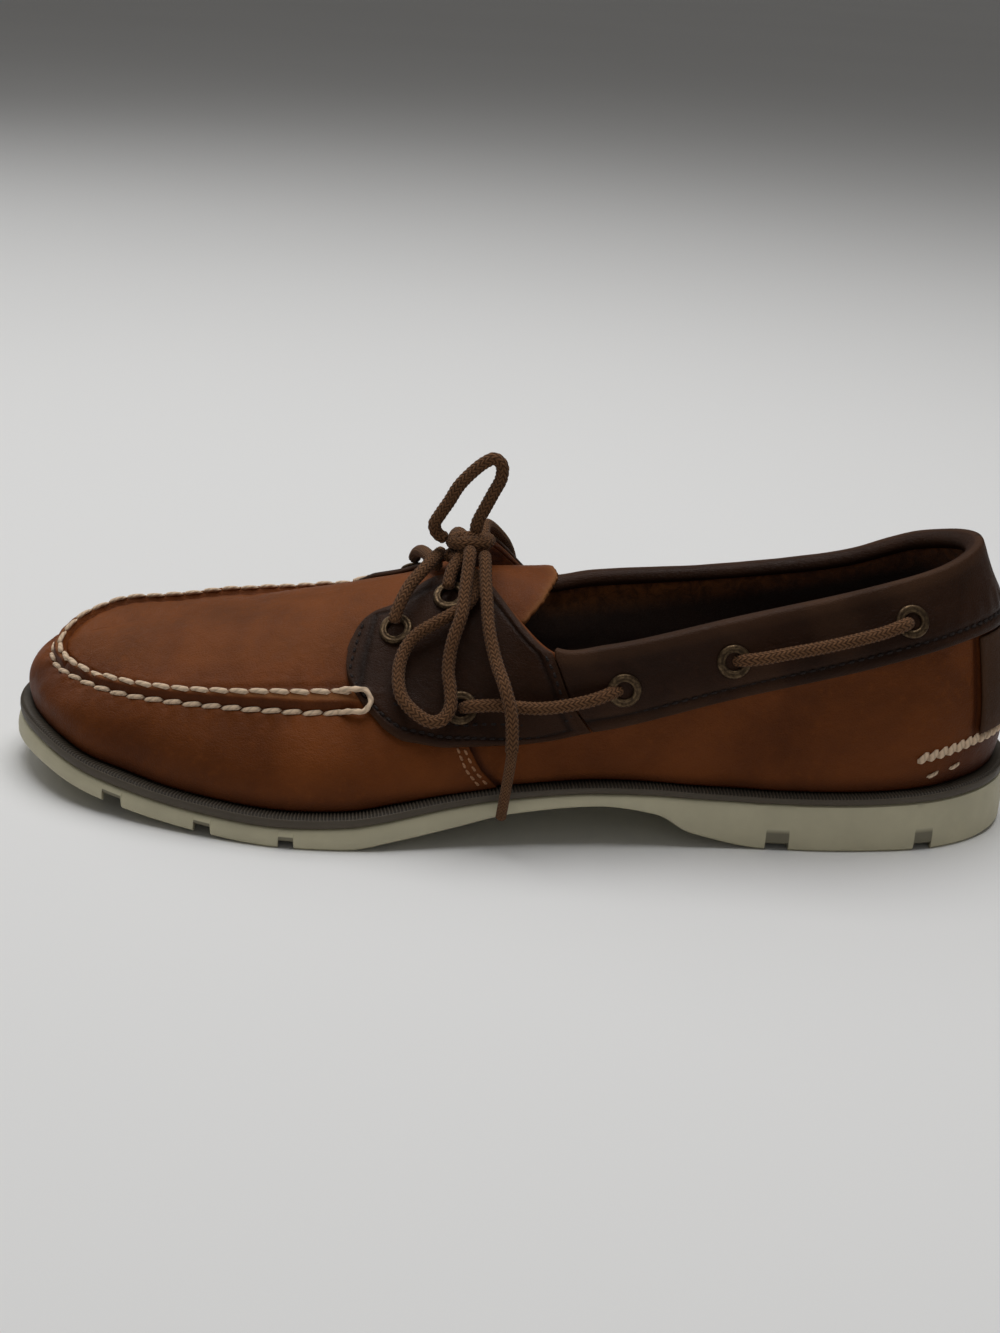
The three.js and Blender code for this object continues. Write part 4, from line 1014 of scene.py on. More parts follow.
def make_materials(colours):
    """The shoe's materials from its colours, under the names that its pieces ask for."""
    tans = colours.tan, colours.tan_rubbed_and_lit, colours.tan_shaded
    browns = colours.brown, colours.brown_rubbed_and_lit, colours.brown_shaded
    MATERIALS.update(
        tan=smooth_leather("oiled_tan_leather", *tans, 0.44),
        brown=smooth_leather("oiled_brown_leather", *browns, 0.4),
        suede=napped_leather("suede_lining", colours.suede),
        rubber=moulded_rubber("cream_rubber", colours.rubber, colours.rubber_shaded, 0.5),
        welt=moulded_rubber("ribbed_welt", colours.welt, colours.welt_shaded, 0.55),
        brass=old_brass("antique_brass", colours.brass, colours.patina),
        lace=braided_cord("braided_lace", colours.lace, 6, 1.5),
        aglet=braided_cord("lace_sleeve", shade(colours.lace, 1.15), 9, 1.1),
        thread=sewing_thread("cream_thread", colours.thread, shade(colours.thread, 0.55)),
        tan_thread=sewing_thread("tan_thread", colours.tan_thread, shade(colours.tan_thread, 0.5)),
        dark_thread=sewing_thread("dark_thread", colours.dark_thread, shade(colours.dark_thread, 0.6)),
    )


# ------------------------------------------------------------------ operators
class StageOperator(bpy.types.Operator):
    """Floor, lights, camera and the materials"""

    bl_idname = "shoe.stage"
    bl_label = "Stage"

    def execute(self, context):
        make_materials(context.scene.shoe_colours)
        self.floor()
        self.light()
        self.camera()
        context.scene.view_settings.view_transform = "Standard"
        return {"FINISHED"}

    def link(self, name, data):
        """A new object in the scene."""
        made = bpy.data.objects.new(name, data)
        bpy.context.scene.collection.objects.link(made)
        return made

    def floor(self):
        """A square of pale floor with a faint cloud in it."""
        finish = Finish("pale_floor", Specular_IOR_Level=0.2)
        cloud = finish.ramp(finish.noise(900, 2, 0.5), 0.2, 0.8)
        tone = finish.mixed(cloud, (0.79, 0.79, 0.785), (0.81, 0.81, 0.805))
        square = bpy.data.meshes.new("floor")
        corners = [(x * FLOOR_HALF, y * FLOOR_HALF, 0) for x, y in ((-1, -1), (1, -1), (1, 1), (-1, 1))]
        square.from_pydata(corners, [], [(0, 1, 2, 3)])
        square.materials.append(finish.done(tone, cloud * 0.05 + 0.75))
        self.link("floor", square)

    def light(self):
        """An even world and three round lamps."""
        scene = bpy.context.scene
        scene.world = scene.world or bpy.data.worlds.new("studio")
        scene.world.use_nodes = True
        background = scene.world.node_tree.nodes["Background"]
        background.inputs["Color"].default_value = WORLD_LIGHT
        background.inputs["Strength"].default_value = WORLD_STRENGTH
        for name, position, target, size, power in LIGHTS:
            lamp = bpy.data.lights.new(name, "AREA")
            lamp.shape = "DISK"
            lamp.size, lamp.energy = size, power
            self.link(name, lamp).matrix_world = looking(np.array(position), np.array(target), 0.0)

    def camera(self):
        """The camera on a sphere round its target."""
        level, up = math.cos(CAMERA_TILT), math.sin(CAMERA_TILT)
        back = np.array([math.sin(CAMERA_TURN) * level, -math.cos(CAMERA_TURN) * level, up])
        target = np.array(CAMERA_TARGET) * MM
        lens = bpy.data.cameras.new("camera")
        lens.lens, lens.sensor_width, lens.sensor_fit = CAMERA_LENS, SENSOR_WIDTH, "AUTO"
        lens.clip_end = 100
        camera = self.link("camera", lens)
        camera.matrix_world = looking(target + back * CAMERA_DISTANCE * MM, target, CAMERA_ROLL)
        bpy.context.scene.camera = camera


def looking(position, target, roll):
    """The matrix of a light or camera at a position, looking at a target with its top upwards, rolled."""
    back = unit(position - target)
    right = unit(np.cross((0, 1, 0) if abs(back[2]) > 0.98 else (0, 0, 1), back))
    top = np.cross(back, right)
    across = right * math.cos(roll) + top * math.sin(roll)
    upright = -right * math.sin(roll) + top * math.cos(roll)
    matrix = np.eye(4)
    matrix[:3, 0], matrix[:3, 1], matrix[:3, 2], matrix[:3, 3] = across, upright, back, position
    return Matrix(matrix.tolist())


def strand(route):
    """The cord of a route, the points it follows and its length."""
    points, length = even_points(ROUTES[route], RING_SPACING)
    return tube(points, bpy.context.scene.shoe_sizes.lace), points, length


class LaceOperator(bpy.types.Operator):
    """The tied bow: risers, knot, two loops and two ends with their aglets"""

    bl_idname = "shoe.lace"
    bl_label = "Bow and lace ends"

    def execute(self, context):
        sizes = context.scene.shoe_sizes
        crossing = [strand(route)[0] for route in ("crossOuter", "crossInner")]
        build("lace_crossing_braid", crossing, "lace", "lace_crossing")
        layers = [strand(route)[0] for route in ("riseOuter", "riseInner")]
        for wrap in KNOT_WRAPS:
            layers.append(tube(even_points(wrap + wrap[:1], RING_SPACING)[0], sizes.lace))
        core, _ = even_points(KNOT_CORE, RING_SPACING)
        layers.append(tube(core, KNOT_CORE_DIAMETERS * sizes.lace))
        knot = build("lace_knot_braid", layers, "lace", "lace_knot")
        for name, pieces in (("high", [knot]), ("low", [])):
            layer, points, length = strand("loop" + name.title())
            loop = build(f"lace_loop_{name}_braid", [layer], "lace", f"lace_loop_{name}")
            tuple(points[0] * MM)
            length * MM
            (points * MM).tolist()
        for name, _ in SIDES:
            layer, points, length = strand("end" + name.title())
            tip, _ = even_points((points[-SLEEVE_LAP], *ROUTES["aglet" + name.title()]), 0.3)
            tip = tube(tip, sizes.aglet, sides=24, swell=0.05, columns=9, pitch=1.1)
            aglet = build(f"aglet_{name}_sleeve", [tip], "aglet", f"aglet_{name}")
            end = build(f"lace_end_{name}_braid", [layer], "lace", f"lace_end_{name}")
            tuple(points[0] * MM)
            length * MM
            (points * MM).tolist()
        return {"FINISHED"}


def welt_level(share):
    """The height at a share of the welt's thickness, as a function of the place along the shoe."""
    return lambda at: mix(welt_floor(at), welt_top(at), share)


def above_floor(up):
    """A height above the upper's floor, as a function of the place along the shoe."""
    return lambda at: upper_floor(at) + up


def section_rows():
    """Rows of the upper's columns: even ones, and two close together at the vamp's edge."""
    rows = np.linspace(0, ROW_COUNT, ROW_COUNT * COLUMNS_PER_ROW + 1)
    rows = np.sort(np.concatenate([rows, [SEAM_ROW - 0.006, SEAM_ROW + 0.006]]))
    return rows[np.abs(rows - SEAM_ROW) > 1e-6]


def leaning_grid(rows, rises):
    """Laps and rises of a grid, outer side then inner side, closed at the heel. Columns near the vamp's
    edge lean with it, by a share that falls to nothing one row away."""
    near = 1 - smoothstep(np.abs(rows - SEAM_ROW), 0, 1)
    leaned = rows[None, :] + (seam_row(rises)[:, None] - SEAM_ROW) * near[None, :]
    outer = leaned / (2 * ROW_COUNT)
    laps = np.concatenate([outer, 1 - outer[:, -2::-1]], 1)
    return laps, np.broadcast_to(rises[:, None], laps.shape)


class UpperOperator(bpy.types.Operator):
    """The tan upper with its apron seam, and the suede lining inside it"""

    bl_idname = "shoe.upper"
    bl_label = "Upper and lining"

    def execute(self, context):
        rows = section_rows()
        self.leather(rows)
        self.lining(rows[::2])
        return {"FINISHED"}

    def leather(self, rows):
        """One skin: under the margin, up the face, over the rim, down the back and in along the margin."""
        rises = read_table(RISE_SPREAD, np.linspace(0, 1, 111))
        laps, high = leaning_grid(rows, rises)
        outside = on_upper(laps, high)
        back_laps, back_high = leaning_grid(rows, np.linspace(1, 0.06, 18))
        inside = last_point(back_laps, back_high) - normal_at(back_laps, back_high) * LEATHER
        lap = laps[0]
        row = row_at(lap)
        lift = (1 - smoothstep(row, 7.2, SPINE_ROW))[:, None] * np.array([0, 0, 0.35])
        rim = (outside[-1] + inside[0]) / 2 + lift

        def turned_in(inset, up):
            return on_sole(lap, np.full(lap.shape, inset), above_floor(up))

        corner = turned_in(WELT_LEDGE + LEATHER, LEATHER)
        above, below = (turned_in(WELT_LEDGE + MARGIN, up) for up in (LEATHER, 0))
        lines = np.concatenate([[below], outside, [rim], inside, [corner], [above], [below]])
        keep = np.ones((len(lines) - 1, lap.size - 1), bool)
        closed = np.minimum(row[:-1], row[1:]) >= SPINE_ROW - 1e-6
        keep[len(rises) : len(rises) + 2, closed] = False
        paint = {}
        for name, values in zip(("wear_and_highlight", "painted_shade"), self.paint(laps, high)):
            paint[name] = np.pad(values, ((1, len(lines) - 1 - len(rises)), (0, 0)))
        build("upper_leather", [{"points": lines, "keep": keep, "paint": paint}], "tan", "upper")

    def paint(self, lap, rise):
        """Where the face is rubbed, on the apron's ridge, where a highlight is painted on the plug's top, and
        where shade is painted: along the seams, at the foot, low on the vamp and heel and in the creases."""
        row, seam = row_at(lap), seam_row(rise)
        low, high = apron_edges(lap)
        shown = apron_shown(row)
        crest = smoothstep(rise, low + 0.036, low + 0.044)
        crest = crest * (1 - smoothstep(rise, high - 0.004, high + 0.006))
        # The ridge's crest is rubbed lighter; the plug's top gets a painted highlight.
        plug = smoothstep(rise, 0.56, 0.66) * smoothstep(row, 7.5, 9)
        wear_and_highlight = 0.75 * shown * crest + 0.12 * plug
        face = smoothstep(rise, low - 0.01, low + 0.004) * (1 - smoothstep(rise, low + 0.03, low + 0.042))
        # Painted shade along the seams and grooves, at the foot, low on the vamp and heel, and in the
        # creases.
        painted_shade = sum((
            0.9 * smoothstep(row, seam - 0.16, seam - 0.02) * (row <= seam) * (rise < 0.42),
            0.5 * shown * face,
            0.4 * shown * bell(rise, high + 0.022, 0.01),
            0.9 * bell(row, STRIP_ROW, 0.06) * smoothstep(rise, 0.1, 0.2),
            0.55 * (1 - smoothstep(rise, 0.0, 0.07)),
            0.4 * (1 - smoothstep(row, 1.6, 2.6)) * (rise < kicker_rise(row)),
            0.22 * smoothstep(row, 8, 13) * (1 - smoothstep(rise, 0.1, 0.4)),
            0.14 * (1 - smoothstep(row, 2.5, 6.5)) * (1 - smoothstep(rise, 0.05, 0.45)),
            0.3 * creased(last_point(lap, rise)),
        ))
        return np.clip(wear_and_highlight, 0, 1), np.clip(painted_shade, 0, 1)

    def lining(self, rows):
        """Two skins just inside the leather, closed at the foot and at the collar."""
        laps, high = leaning_grid(rows, np.linspace(0.05, 0.985, 34))
        base, normal = last_point(laps, high), normal_at(laps, high)
        nap = 0.18 * np.sin(base[..., 0] * 1.7 + 2 * np.sin(base[..., 2] * 1.3)) * np.sin(base[..., 2] * 2.1)
        outer = base - normal * (LEATHER + LINING_GAP)
        inner = base - normal * (WALL + LINING_GAP + nap)[..., None]
        lines, heights = (np.concatenate([a, b[::-1], a[:1]]) for a, b in ((outer, inner), (high, high)))
        # Painted shade: the suede darkens to nearly black deep inside the shoe.
        layer = {"points": lines, "paint": {"painted_shade": 0.97 * (1 - smoothstep(heights, 0.66, 0.97))}}
        build("suede_lining", [layer], "suede")


class SoleOperator(bpy.types.Operator):
    """The lugged rubber sole, the ribbed welt and the insole"""

    bl_idname = "shoe.sole"
    bl_label = "Sole, welt and insole"

    def execute(self, context):
        self.outsole()
        self.welt(context.scene.shoe_sizes.rib_pitch)
        self.insole()
        return {"FINISHED"}

    def stations(self, per_row, channels):
        """Pairs of laps, outer and inner, that lie at the same place along the shoe, with close pairs at
        the sides of the channels."""
        dense = np.linspace(0, 0.5, 3001)
        outer_x, inner_x = (
            np.minimum.accumulate(round_at(outline_loop, lap)[:, 0]) for lap in (dense, 1 - dense)
        )
        x = np.interp(np.linspace(0, 0.5, ROW_COUNT * per_row + 1), dense, outer_x)
        for at, width, _ in channels:
            middle = LENGTH / 2 - at * LENGTH
            beside = np.array([-1, -1, 1, 1]) * width / 2 + np.array([-0.12, 0.12, -0.12, 0.12])
            x = np.concatenate([x[np.abs(np.abs(x - middle) - width / 2) > 0.3], middle + beside])
        x = np.sort(x)[::-1]
        outer = np.interp(-x, -outer_x, dense)
        inner = 1 - np.interp(-x, -inner_x, dense)
        outer[0], inner[0], outer[-1], inner[-1] = 0, 1, 0.5, 0.5
        return x, outer, inner

    def outsole(self):
        """Sections across the sole: each goes over the core, down the side, along the underside with its
        channels and zigzag cuts, and up the other side."""
        x, outer, inner = self.stations(24, CHANNELS)
        cut = sum(
            (np.abs(x - LENGTH / 2 + at * LENGTH) < width / 2) * float(depth) for at, width, depth in CHANNELS
        )
        channel = (cut > 0)[:, None]

        def bottom(at):
            return under(at) + cut

        def side_lines(lap):
            def line(inset, height_at):
                return on_sole(lap, np.full(lap.shape, float(inset)), height_at)

            top, foot = line(0, rubber), line(-RUBBER_FLARE, rubber)
            foot[..., 2] = bottom(share_at(foot[..., 0])) + RUBBER_CHAMFER
            top[..., 2] -= 0.4
            belly = inward(outline_loop, lap) * RUBBER_BELLY
            shares = np.linspace(0, 1, SIDE_RINGS)
            side = [mix(top, foot, share) - belly * math.sin(math.pi * share) for share in shares]
            core = line(CORE_INSET + GAP, welt_top), line(CORE_INSET + GAP, rubber), line(0.5, rubber)
            return np.stack([*core, *side, line(RUBBER_CHAMFER - RUBBER_FLARE, bottom)], 1)

        left, right = side_lines(outer), side_lines(inner)
        across = np.linspace(0, 1, 76)[None, 1:-1, None]
        flat = mix(left[:, -1:, :], right[:, -1:, :], across)
        depth = self.sipes(flat) * (1 - channel)
        flat[..., 2] += depth
        section = np.concatenate([left, flat, right[:, ::-1], left[:, :1]], 1)
        first, last = left.shape[1], left.shape[1] + flat.shape[1]
        place_in = np.arange(section.shape[1])
        # Painted shade in the channels and along the zigzag cuts, darker where they are deeper.
        painted_shade = 0.7 * channel * (place_in >= first - 4) * (place_in < last + 4)
        painted_shade[:, first:last] = np.maximum(painted_shade[:, first:last], np.clip(depth / 1.2, 0, 1) * 0.6)
        layer = {"points": section, "paint": {"painted_shade": painted_shade}}
        build("outsole_rubber", [layer], "rubber", "outsole", sharp=42)

    def sipes(self, points):
        """Depth of the shallow zigzag cuts across the tread, which follow a triangle wave."""
        wave = np.abs((points[..., 1] / ZIGZAG_WIDTH) % 1 - 0.5) * ZIGZAG_REACH
        phase = np.abs(((points[..., 0] + wave) / ZIGZAG_PITCH) % 1 - 0.5)
        edge = smoothstep(np.abs(np.abs(points[..., 1]) - ZIGZAG_END), 0, 8)
        return ZIGZAG_DEPTH * smoothstep(phase, 0.36, 0.42) * edge

    def welt(self, pitch):
        """The welt's profile carried round the sole: smooth side, rounded rim, ribbed ledge, hidden back."""
        dense = np.linspace(0, 1, 6001)
        travelled = travel_along(round_at(outline_loop, dense))
        steps = np.arange(4 * round(travelled[-1] / pitch) + 1)
        lap = np.interp(steps / steps[-1] * travelled[-1], travelled, dense)
        gap = 0.5 - 0.5 * np.cos(TAU * steps / 4)
        lines, rib_shading = [], []
        for inset, share, ribbed in WELT_PROFILE + WELT_PROFILE[:1]:
            line = on_sole(lap, np.full(lap.shape, inset), welt_level(share))
            line[..., 2] -= RIB_DEPTH * ribbed * gap
            lines.append(line)
            # Painted shade between the ribs and where the welt lies under the upper.
            rib_shading.append(np.clip(0.9 * ribbed * gap + 0.6 * (inset > WELT_LEDGE - 0.4), 0, 1))
        layer = {"points": np.stack(lines), "paint": {"painted_shade": np.stack(rib_shading)}}
        build("welt_ribbed", [layer], "welt", "welt")

    def insole(self):
        """A plate dished a little in its middle, lying on the margins of the upper."""
        _, outer, inner = self.stations(8, ())
        inset = WELT_LEDGE + WALL + INSOLE_PLAY
        low = WALL + GAP
        top = low + INSOLE_THICKNESS

        def edge(lap):
            corners = ((inset, low), (inset, top - 0.8), (inset + 0.8, top))
            lines = [on_sole(lap, np.full(lap.shape, by), above_floor(up)) for by, up in corners]
            return np.stack(lines, 1)

        left, right = edge(outer), edge(inner)
        share = np.linspace(0, 1, 42)[None, 1:-1, None]
        face = mix(left[:, -1:], right[:, -1:], share)
        face[..., 2] -= INSOLE_DISH * np.sin(math.pi * share[..., 0]) ** 2
        section = np.concatenate([left, face, right[:, ::-1], left[:, :1]], 1)
        # Painted shade: the whole insole is darkened nearly to black.
        layer = {"points": section, "paint": {"painted_shade": np.full(section.shape[:2], 0.88)}}
        build("insole_suede", [layer], "suede", "insole")


class TongueOperator(bpy.types.Operator):
    """The tongue, with its cut rear edge"""

    bl_idname = "shoe.tongue"
    bl_label = "Tongue"

    def execute(self, context):
        """A sheet whose sides drop with the square of the distance from its middle, with a rough rear edge
        that curls up."""
        half, height, drop = (column(TONGUE, k) for k in (1, 2, 3))
        along = np.linspace(0, 1, 70)[:, None]
        side = np.linspace(-1, 1, 80)[None, :]
        rough = 0.0006 * np.sin(side * 47) + 0.0006 * np.sin(side * 83 + 1) + 0.0008 * np.sin(side * 11)
        start = TONGUE[0][0] + TONGUE_ROUND * side * side + rough
        at = mix(start, TONGUE[-1][0], along)
        y = TONGUE_CENTRE + side * half(at)
        curl = 0.275 * np.exp(-along / 0.05) + 0.0625 * np.sin(y * 0.35 + along * 5)
        z = height(at) - drop(at) * side**2 + TONGUE_TILT * side * half(at) + curl
        face, back = place(at, y, z), place(at, y, z - TONGUE_THICKNESS + 0.4)
        wear_and_highlight = 0.85 * np.exp(-along / 0.02) * np.ones_like(side)
        build("tongue_leather", slab(face, back, 0.5, wear_and_highlight), "tan", "tongue")
        return {"FINISHED"}


# Section of the collar's trim: rise, height above the leather, lift above the edge; outer face, then back.
BAND_FACE = (
    (0.5, 0.9, 0), (0.504, 1.55, 0), (0.535, 1.85, 0), (0.575, 1.4, 0), (0.61, 1.95, 0), (0.7, 2.2, 0),
    (0.8, 2.2, 0), (0.92, 2.35, 0), (0.985, 2.4, 0.2), (1, 1.7, 1.5), (1, -0.6, 2.2), (1, -2.7, 1.6),
    (0.998, -3.6, 0.4), (0.985, -3.8, 0), (0.965, -3.6, 0), (0.95, -3.2, 0),
)
BAND_BACK = (
    (0.5, 0.3, 0), (0.505, 0.35, 0), (0.535, 0.4, 0), (0.575, 0.4, 0), (0.61, 0.4, 0), (0.7, 0.4, 0),
    (0.8, 0.4, 0), (0.92, 0.4, 0), (0.985, 0.4, 0.1), (1, 0.4, 0.3), (1, -0.6, 0.7), (1, -1.6, 0.5),
    (0.998, -1.9, 0), (0.985, -1.9, 0), (0.965, -1.9, 0), (0.95, -1.9, 0),
)
BAND_STRETCH = (40, 1, 1)  # makes rises about as long as heights while the section is smoothed
TRIM_SEAM_RISE = 0.575


def trim_row(columns, rise):
    """Rows of the trim's columns: straight up to one row, then slanting with the eyestay's rear seam."""
    last = EYESTAY[0][0] + EYESTAY_SLANT * np.maximum(rise - SHOULDER_RISE, 0) - TRIM_SPLIT
    return np.where(columns <= TRIM_STRAIGHT, columns, mix(TRIM_STRAIGHT, last, columns - TRIM_STRAIGHT))


class CollarOperator(bpy.types.Operator):
    """The padded brown trim of the collar"""

    bl_idname = "shoe.collar"
    bl_label = "Collar trim"

    def execute(self, context):
        (face, rise, height, lap), (back, *_) = self.skin(BAND_FACE), self.skin(BAND_BACK)
        outside = height > 0
        # Lighter along the rolled top, from wear and a painted highlight, along the rubbed lower edge, and in
        # patches.
        wear_and_highlight = sum((
            0.35 * smoothstep(rise, 0.93, 0.99) * (height > -1),
            0.4 * bell(rise, 0.503, 0.006) * outside,
            0.3 * smoothstep(rolling(face * 1.3 + 3), -0.1, 0.6) * outside,
        ))
        # Painted shade in the groove of the stitch row and down the seam at the back.
        painted_shade = (0.8 * bell(rise, TRIM_SEAM_RISE, 0.012) + bell(row_at(lap), 0, 0.05)) * outside
        layers = slab(face, back, 0.4, np.clip(wear_and_highlight, 0, 1), np.clip(painted_shade, 0, 1))
        build("collar_trim_leather", layers, "brown", "collar_band")
        return {"FINISHED"}

    def skin(self, table):
        """A section's points carried round the collar, with swells and puckers where it is padded."""
        columns = np.linspace(-6, 6, 420)[:, None]
        curve = spans(np.array(table, float) * BAND_STRETCH, False)
        spot = follow(curve, np.linspace(0, curve.shape[1], 46)) / BAND_STRETCH
        rise, height, lift = (spot[None, :, k] for k in range(3))
        rise = np.minimum(rise, 1)
        lap = (np.sign(columns) * trim_row(np.abs(columns), rise) / (2 * ROW_COUNT)) % 1
        rise, height, lift = np.broadcast_arrays(rise, height, lift, lap)[:3]
        base = last_point(lap, rise)
        softness = 0.22 * rolling(base * 2.1 + 7) * smoothstep(rise, 0.6, 0.8)
        pucker = 0.12 * np.sin(np.abs(columns) * 21) * smoothstep(rise, 0.56, 0.62)
        pucker = pucker * (1 - smoothstep(rise, 0.66, 0.76))
        bulk = height + (softness + pucker) * (height > 0.6)
        points = base + normal_at(lap, rise) * bulk[..., None] + lift[..., None] * np.array([0, 0, 1])
        return points, rise, height, lap


def eyestay_spot(along, across):
    """Row and rise of a place on an eyestay, from its rear seam to its front and from its lower edge up."""
    low, high = column(EYESTAY, 1), column(EYESTAY, 2)
    first, last = EYESTAY[0][0], EYESTAY[-1][0]
    row = mix(first, last, along)
    rise = mix(low(row), high(row), across)
    slant = EYESTAY_SLANT * np.maximum(rise - SHOULDER_RISE, 0) * (1 - along)
    return row + slant, rise


class EyestayOperator(bpy.types.Operator):
    """The two brown eyestays"""

    bl_idname = "shoe.eyestay"
    bl_label = "Eyestays"

    def execute(self, context):
        """Each is a sheet that thins towards its rim, with a groove along its stitching."""
        along = (0.5 - 0.5 * np.cos(np.linspace(0, math.pi, 170)))[:, None]
        across = np.linspace(0, 1, 64)[None, :]
        row, rise = eyestay_spot(along, across)
        rim = np.minimum(np.minimum(along * 45, (1 - along) * 40), np.minimum(across * 30, (1 - across) * 30))
        thick = 1.35 + 0.6 * smoothstep(rim, 0, 1.6) - 0.4 * bell(rim, 2.6, 0.5)
        for name, side in SIDES:
            lap = lap_at(row, side)
            base, normal = last_point(lap, rise), normal_at(lap, rise)
            face = base + normal * (0.3 * relief(lap, rise, base) + thick)[..., None]
            wear_and_highlight = 0.45 * np.exp(-rim / 0.5) + 0.16 * smoothstep(rolling(base * 1.6), 0, 0.7)
            # Painted shade along the groove of the stitching.
            layers = slab(face, base + normal * 0.25, 0.3, wear_and_highlight, 0.6 * bell(rim, 2.6, 0.6))
            build(f"eyestay_{name}_leather", layers, "brown", f"eyestay_{name}")
        return {"FINISHED"}


class HeelOperator(bpy.types.Operator):
    """The strip up the back of the heel"""

    bl_idname = "shoe.heel"
    bl_label = "Heel strip"

    def execute(self, context):
        """A pillow: thickest in the middle, thinner by the fourth power of the distance from it."""
        row, rise = np.meshgrid(np.linspace(-1.5, 1.5, 60), np.linspace(0.16, 0.49, 60), indexing="ij")
        lap = (row / (2 * ROW_COUNT)) % 1
        base, normal = last_point(lap, rise), normal_at(lap, rise)
        pillow = 1.2 + 0.5 * (1 - (row / 1.5) ** 4) * (1 - np.abs((rise - 0.325) / 0.165) ** 4)
        wear_and_highlight = 0.55 + 0.35 * smoothstep(rolling(base * 1.5), -0.2, 0.6)
        layers = slab(base + normal * pillow[..., None], base + normal * 0.2, 0.3, wear_and_highlight)
        build("heel_strip_leather", layers, "brown", "heel_strip")
        return {"FINISHED"}


class EyeletOperator(bpy.types.Operator):
    """The twelve brass eyelets"""

    bl_idname = "shoe.eyelets"
    bl_label = "Eyelets"

    def execute(self, context):
        """Each is a profile turned round its axis."""
        radius, height = np.array(EYELET_PROFILE).T[..., None]
        angle = np.linspace(0, TAU, 33)
        # Painted shade down the barrel, under the flange and in the groove between the rims.
        painted_shade = np.clip(np.clip((0.2 - height) * 1.2, 0, 1) + 0.6 * bell(radius, 3.65, 0.2), 0, 1)
        paint = {"painted_shade": painted_shade * np.ones(len(angle))}
        for number, spot in enumerate(EYELETS, 1):
            for name, side in SIDES:
                row, rise = spot[:2] if side > 0 else spot[2:]
                lap, rise = np.array(lap_at(row, side)), np.array(rise)
                normal = normal_at(lap, rise)
                seat = last_point(lap, rise) + normal * EYELET_SEAT
                right = unit(np.cross(normal, (0, 0, 1)))
                ring = right * np.cos(angle)[:, None] + np.cross(normal, right) * np.sin(angle)[:, None]
                points = seat + ring * radius[..., None] + normal * height[..., None]
                build(
                    f"eyelet_{name}_{number}_brass", [{"points": points, "paint": paint}], "brass",
                    f"eyelet_{name}_{number}",
                )
        return {"FINISHED"}


class SideLaceOperator(bpy.types.Operator):
    """The lace where it runs outside the collar"""

    bl_idname = "shoe.side_lace"
    bl_label = "Side laces"

    def execute(self, context):
        """Each leaves one eyelet, runs level with the line between the two with a slight sag, and goes into
        the next: its rise is where the last's surface has the wanted height above the floor."""
        share, height = np.array(SIDE_LACE).T
        choices = np.linspace(0.45, 0.95, 400)
        for name, side in SIDES:
            for end, first, second, sag in SIDE_LACES:
                start, stop = (EYELETS[k][:2] if side > 0 else EYELETS[k][2:] for k in (first, second))
                lap = lap_at(mix(start[0], stop[0], share), side)
                levels = last_point(lap[:, None], choices[None, :])[..., 2]
                ends = last_point(lap[[0, -1]], np.array([start[1], stop[1]]))[:, 2]
                wanted = mix(ends[0], ends[1], share) - sag * 4 * share * (1 - share)
                rise = choices[np.abs(levels - wanted[:, None]).argmin(1)]
                route = last_point(lap, rise) + normal_at(lap, rise) * height[:, None]
                points, _ = even_points(route, RING_SPACING)
                cord = tube(points, context.scene.shoe_sizes.lace)
                build(f"side_lace_{name}_{end}_braid", [cord], "lace", f"side_lace_{name}_{end}")
        return {"FINISHED"}


def sided(spots, side):
    """Spots given as row and rise, with rows past the toe's for the inner side."""
    return tuple((float(row if side > 0 else 2 * ROW_COUNT - row), float(rise)) for row, rise in spots)


def sewn(spots, side, height, count, stitch):
    """A row of a kind of stitch through spots on one side."""
    return stitch_row(*upper_line(sided(spots, side), height, count), *stitch)


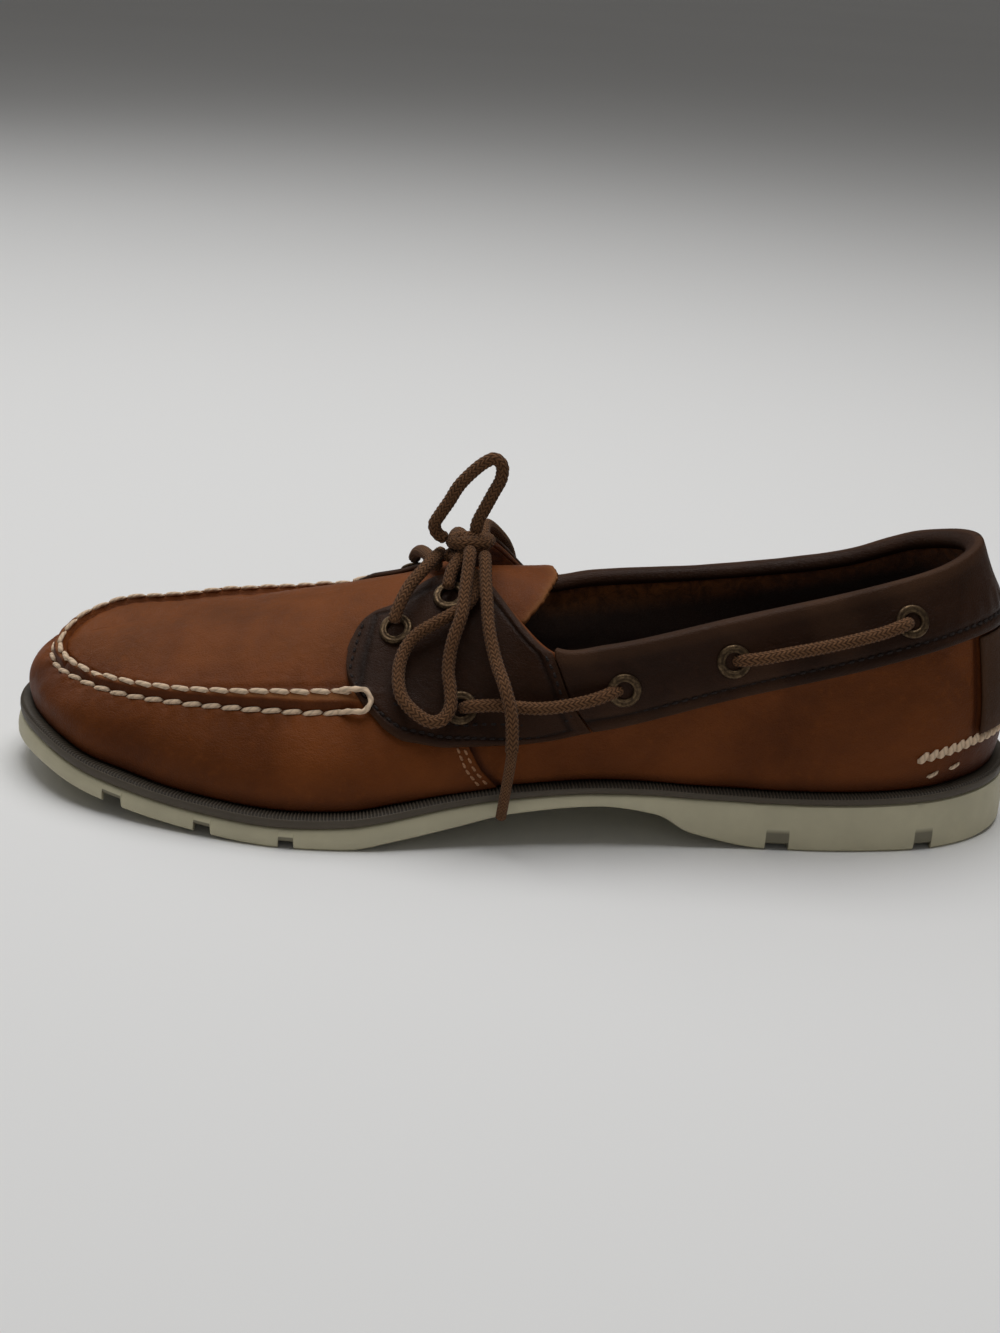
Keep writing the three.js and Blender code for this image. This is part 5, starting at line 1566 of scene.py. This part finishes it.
class StitchOperator(bpy.types.Operator):
    """All the sewn lines: apron, vamp, heel and trim"""

    bl_idname = "shoe.stitches"
    bl_label = "Stitching"

    def execute(self, context):
        build("apron_and_heel_stitches", self.apron() + self.heel(), "thread")
        build("vamp_stitches", self.vamp(), "tan_thread")
        build("trim_stitches", self.trim(), "dark_thread")
        return {"FINISHED"}

    def apron(self):
        """A row along each edge of the seam, and the thread turned round each end of it."""
        sizes = bpy.context.scene.shoe_sizes
        pitch, thread = sizes.stitch_pitch, sizes.thread
        first = APRON_ROWS[1] + 0.02
        station = np.linspace(first, 2 * ROW_COUNT - first, 60)
        low, high = (np.stack([station, edge], 1) for edge in apron_edges(station / (2 * ROW_COUNT)))
        layers = [
            stitch_row(*upper_line(low, 0.5, 1600), pitch, 1.1 * pitch, 1.1 * thread, 0.15, 0.42),
            stitch_row(*upper_line(high, 0.35, 1600), pitch, 1.1 * pitch, 1.08 * thread, -0.1, 0.4, 0.2),
        ]
        heights = read_table(TURN_HEIGHTS, np.linspace(0, 1, 90))
        for _, side in SIDES:
            low, high = apron_edges(np.array(side * APRON_ROWS[1] / (2 * ROW_COUNT)))
            hook = (
                (9.5, high + 0.002), (9.3, high + 0.004), (9.12, high), (9.05, (low + high) / 2),
                (9.12, low), (9.3, low - 0.004), (9.5, low),
            )
            line, _ = upper_line(sided(hook, side), heights, 90)
            points, _ = resample(line, 0.4)
            layers.append(tube(points, 1.9, sides=12, columns=2, pitch=3))
        return layers

    def heel(self):
        """A row of thick slanting stitches round the heel, and two short tacks at each end of it."""
        half = (*KICKER[:0:-1], (0.4, KICKER[0][1]))
        spots = half + tuple((-row, rise) for row, rise in half[::-1])
        layers = [sewn(spots, 1, 0.7, 700, KICKER_STITCH)]
        for _, side in SIDES:
            layers.append(sewn(((2.3, 0.036), (2.03, 0.05), (1.68, 0.064)), side, 0.35, 120, TACK))
        return layers

    def vamp(self):
        """The double row along the vamp's lapped edge."""
        layers = []
        for _, side in SIDES:
            for shift in (0.09, 0.21):
                spots = tuple((seam_row(rise) + shift, rise) for rise in (0.03, 0.1, 0.17, 0.25, 0.34))
                layers.append(sewn(spots, side, 0.12, 200, VAMP_STITCH))
        return layers

    def trim(self):
        """The row along the collar's lower edge, and those round each eyestay."""
        layers = []
        shares = np.linspace(0.03, 0.975, 16)
        rows = (
            [eyestay_spot(a, 0.09) for a in shares],
            [eyestay_spot(a, 0.2 + 0.06 * a) for a in shares[:-3]],
            [eyestay_spot(0.975, a) for a in np.linspace(0.12, 0.88, 6)],
            [eyestay_spot(0.028, a) for a in np.linspace(0.1, 0.95, 6)],
        )
        band = tuple((row, TRIM_SEAM_RISE) for row in (0.2, 1, 2, 3, 4, 5.2))
        for _, side in SIDES:
            layers.append(sewn(band, side, 1.5, 500, BAND_STITCH))
            for spots in rows:
                layers.append(sewn(spots, side, 1.85, 400, EYESTAY_STITCH))
        return layers


# ------------------------------------------------------------------ panel and registration
PIECES = (
    StageOperator, LaceOperator, UpperOperator, SoleOperator, TongueOperator, CollarOperator, EyestayOperator,
    HeelOperator, EyeletOperator, SideLaceOperator, StitchOperator,
)


class ShoePanel(bpy.types.Panel):
    """Lists the shoe's pieces in the order in which they are made"""

    bl_idname = "VIEW3D_PT_boat_shoe"
    bl_label = "Boat shoe"
    bl_space_type = "VIEW_3D"
    bl_region_type = "UI"
    bl_category = "Boat shoe"

    def draw(self, context):
        for group in (context.scene.shoe_sizes, context.scene.shoe_colours):
            for name in group.__annotations__:
                self.layout.prop(group, name)
        for operator in PIECES:
            self.layout.operator(operator.bl_idname)


CLASSES = (ShoeSizes, ShoeColours, *PIECES, ShoePanel)


def register():
    for item in CLASSES:
        bpy.utils.register_class(item)
    bpy.types.Scene.shoe_sizes = bpy.props.PointerProperty(type=ShoeSizes)
    bpy.types.Scene.shoe_colours = bpy.props.PointerProperty(type=ShoeColours)


def unregister():
    del bpy.types.Scene.shoe_sizes
    del bpy.types.Scene.shoe_colours
    for item in reversed(CLASSES):
        bpy.utils.unregister_class(item)


def main():
    register()
    for operator in PIECES:
        group, name = operator.bl_idname.split(".")
        getattr(getattr(bpy.ops, group), name)()


if __name__ == "__main__":
    main()
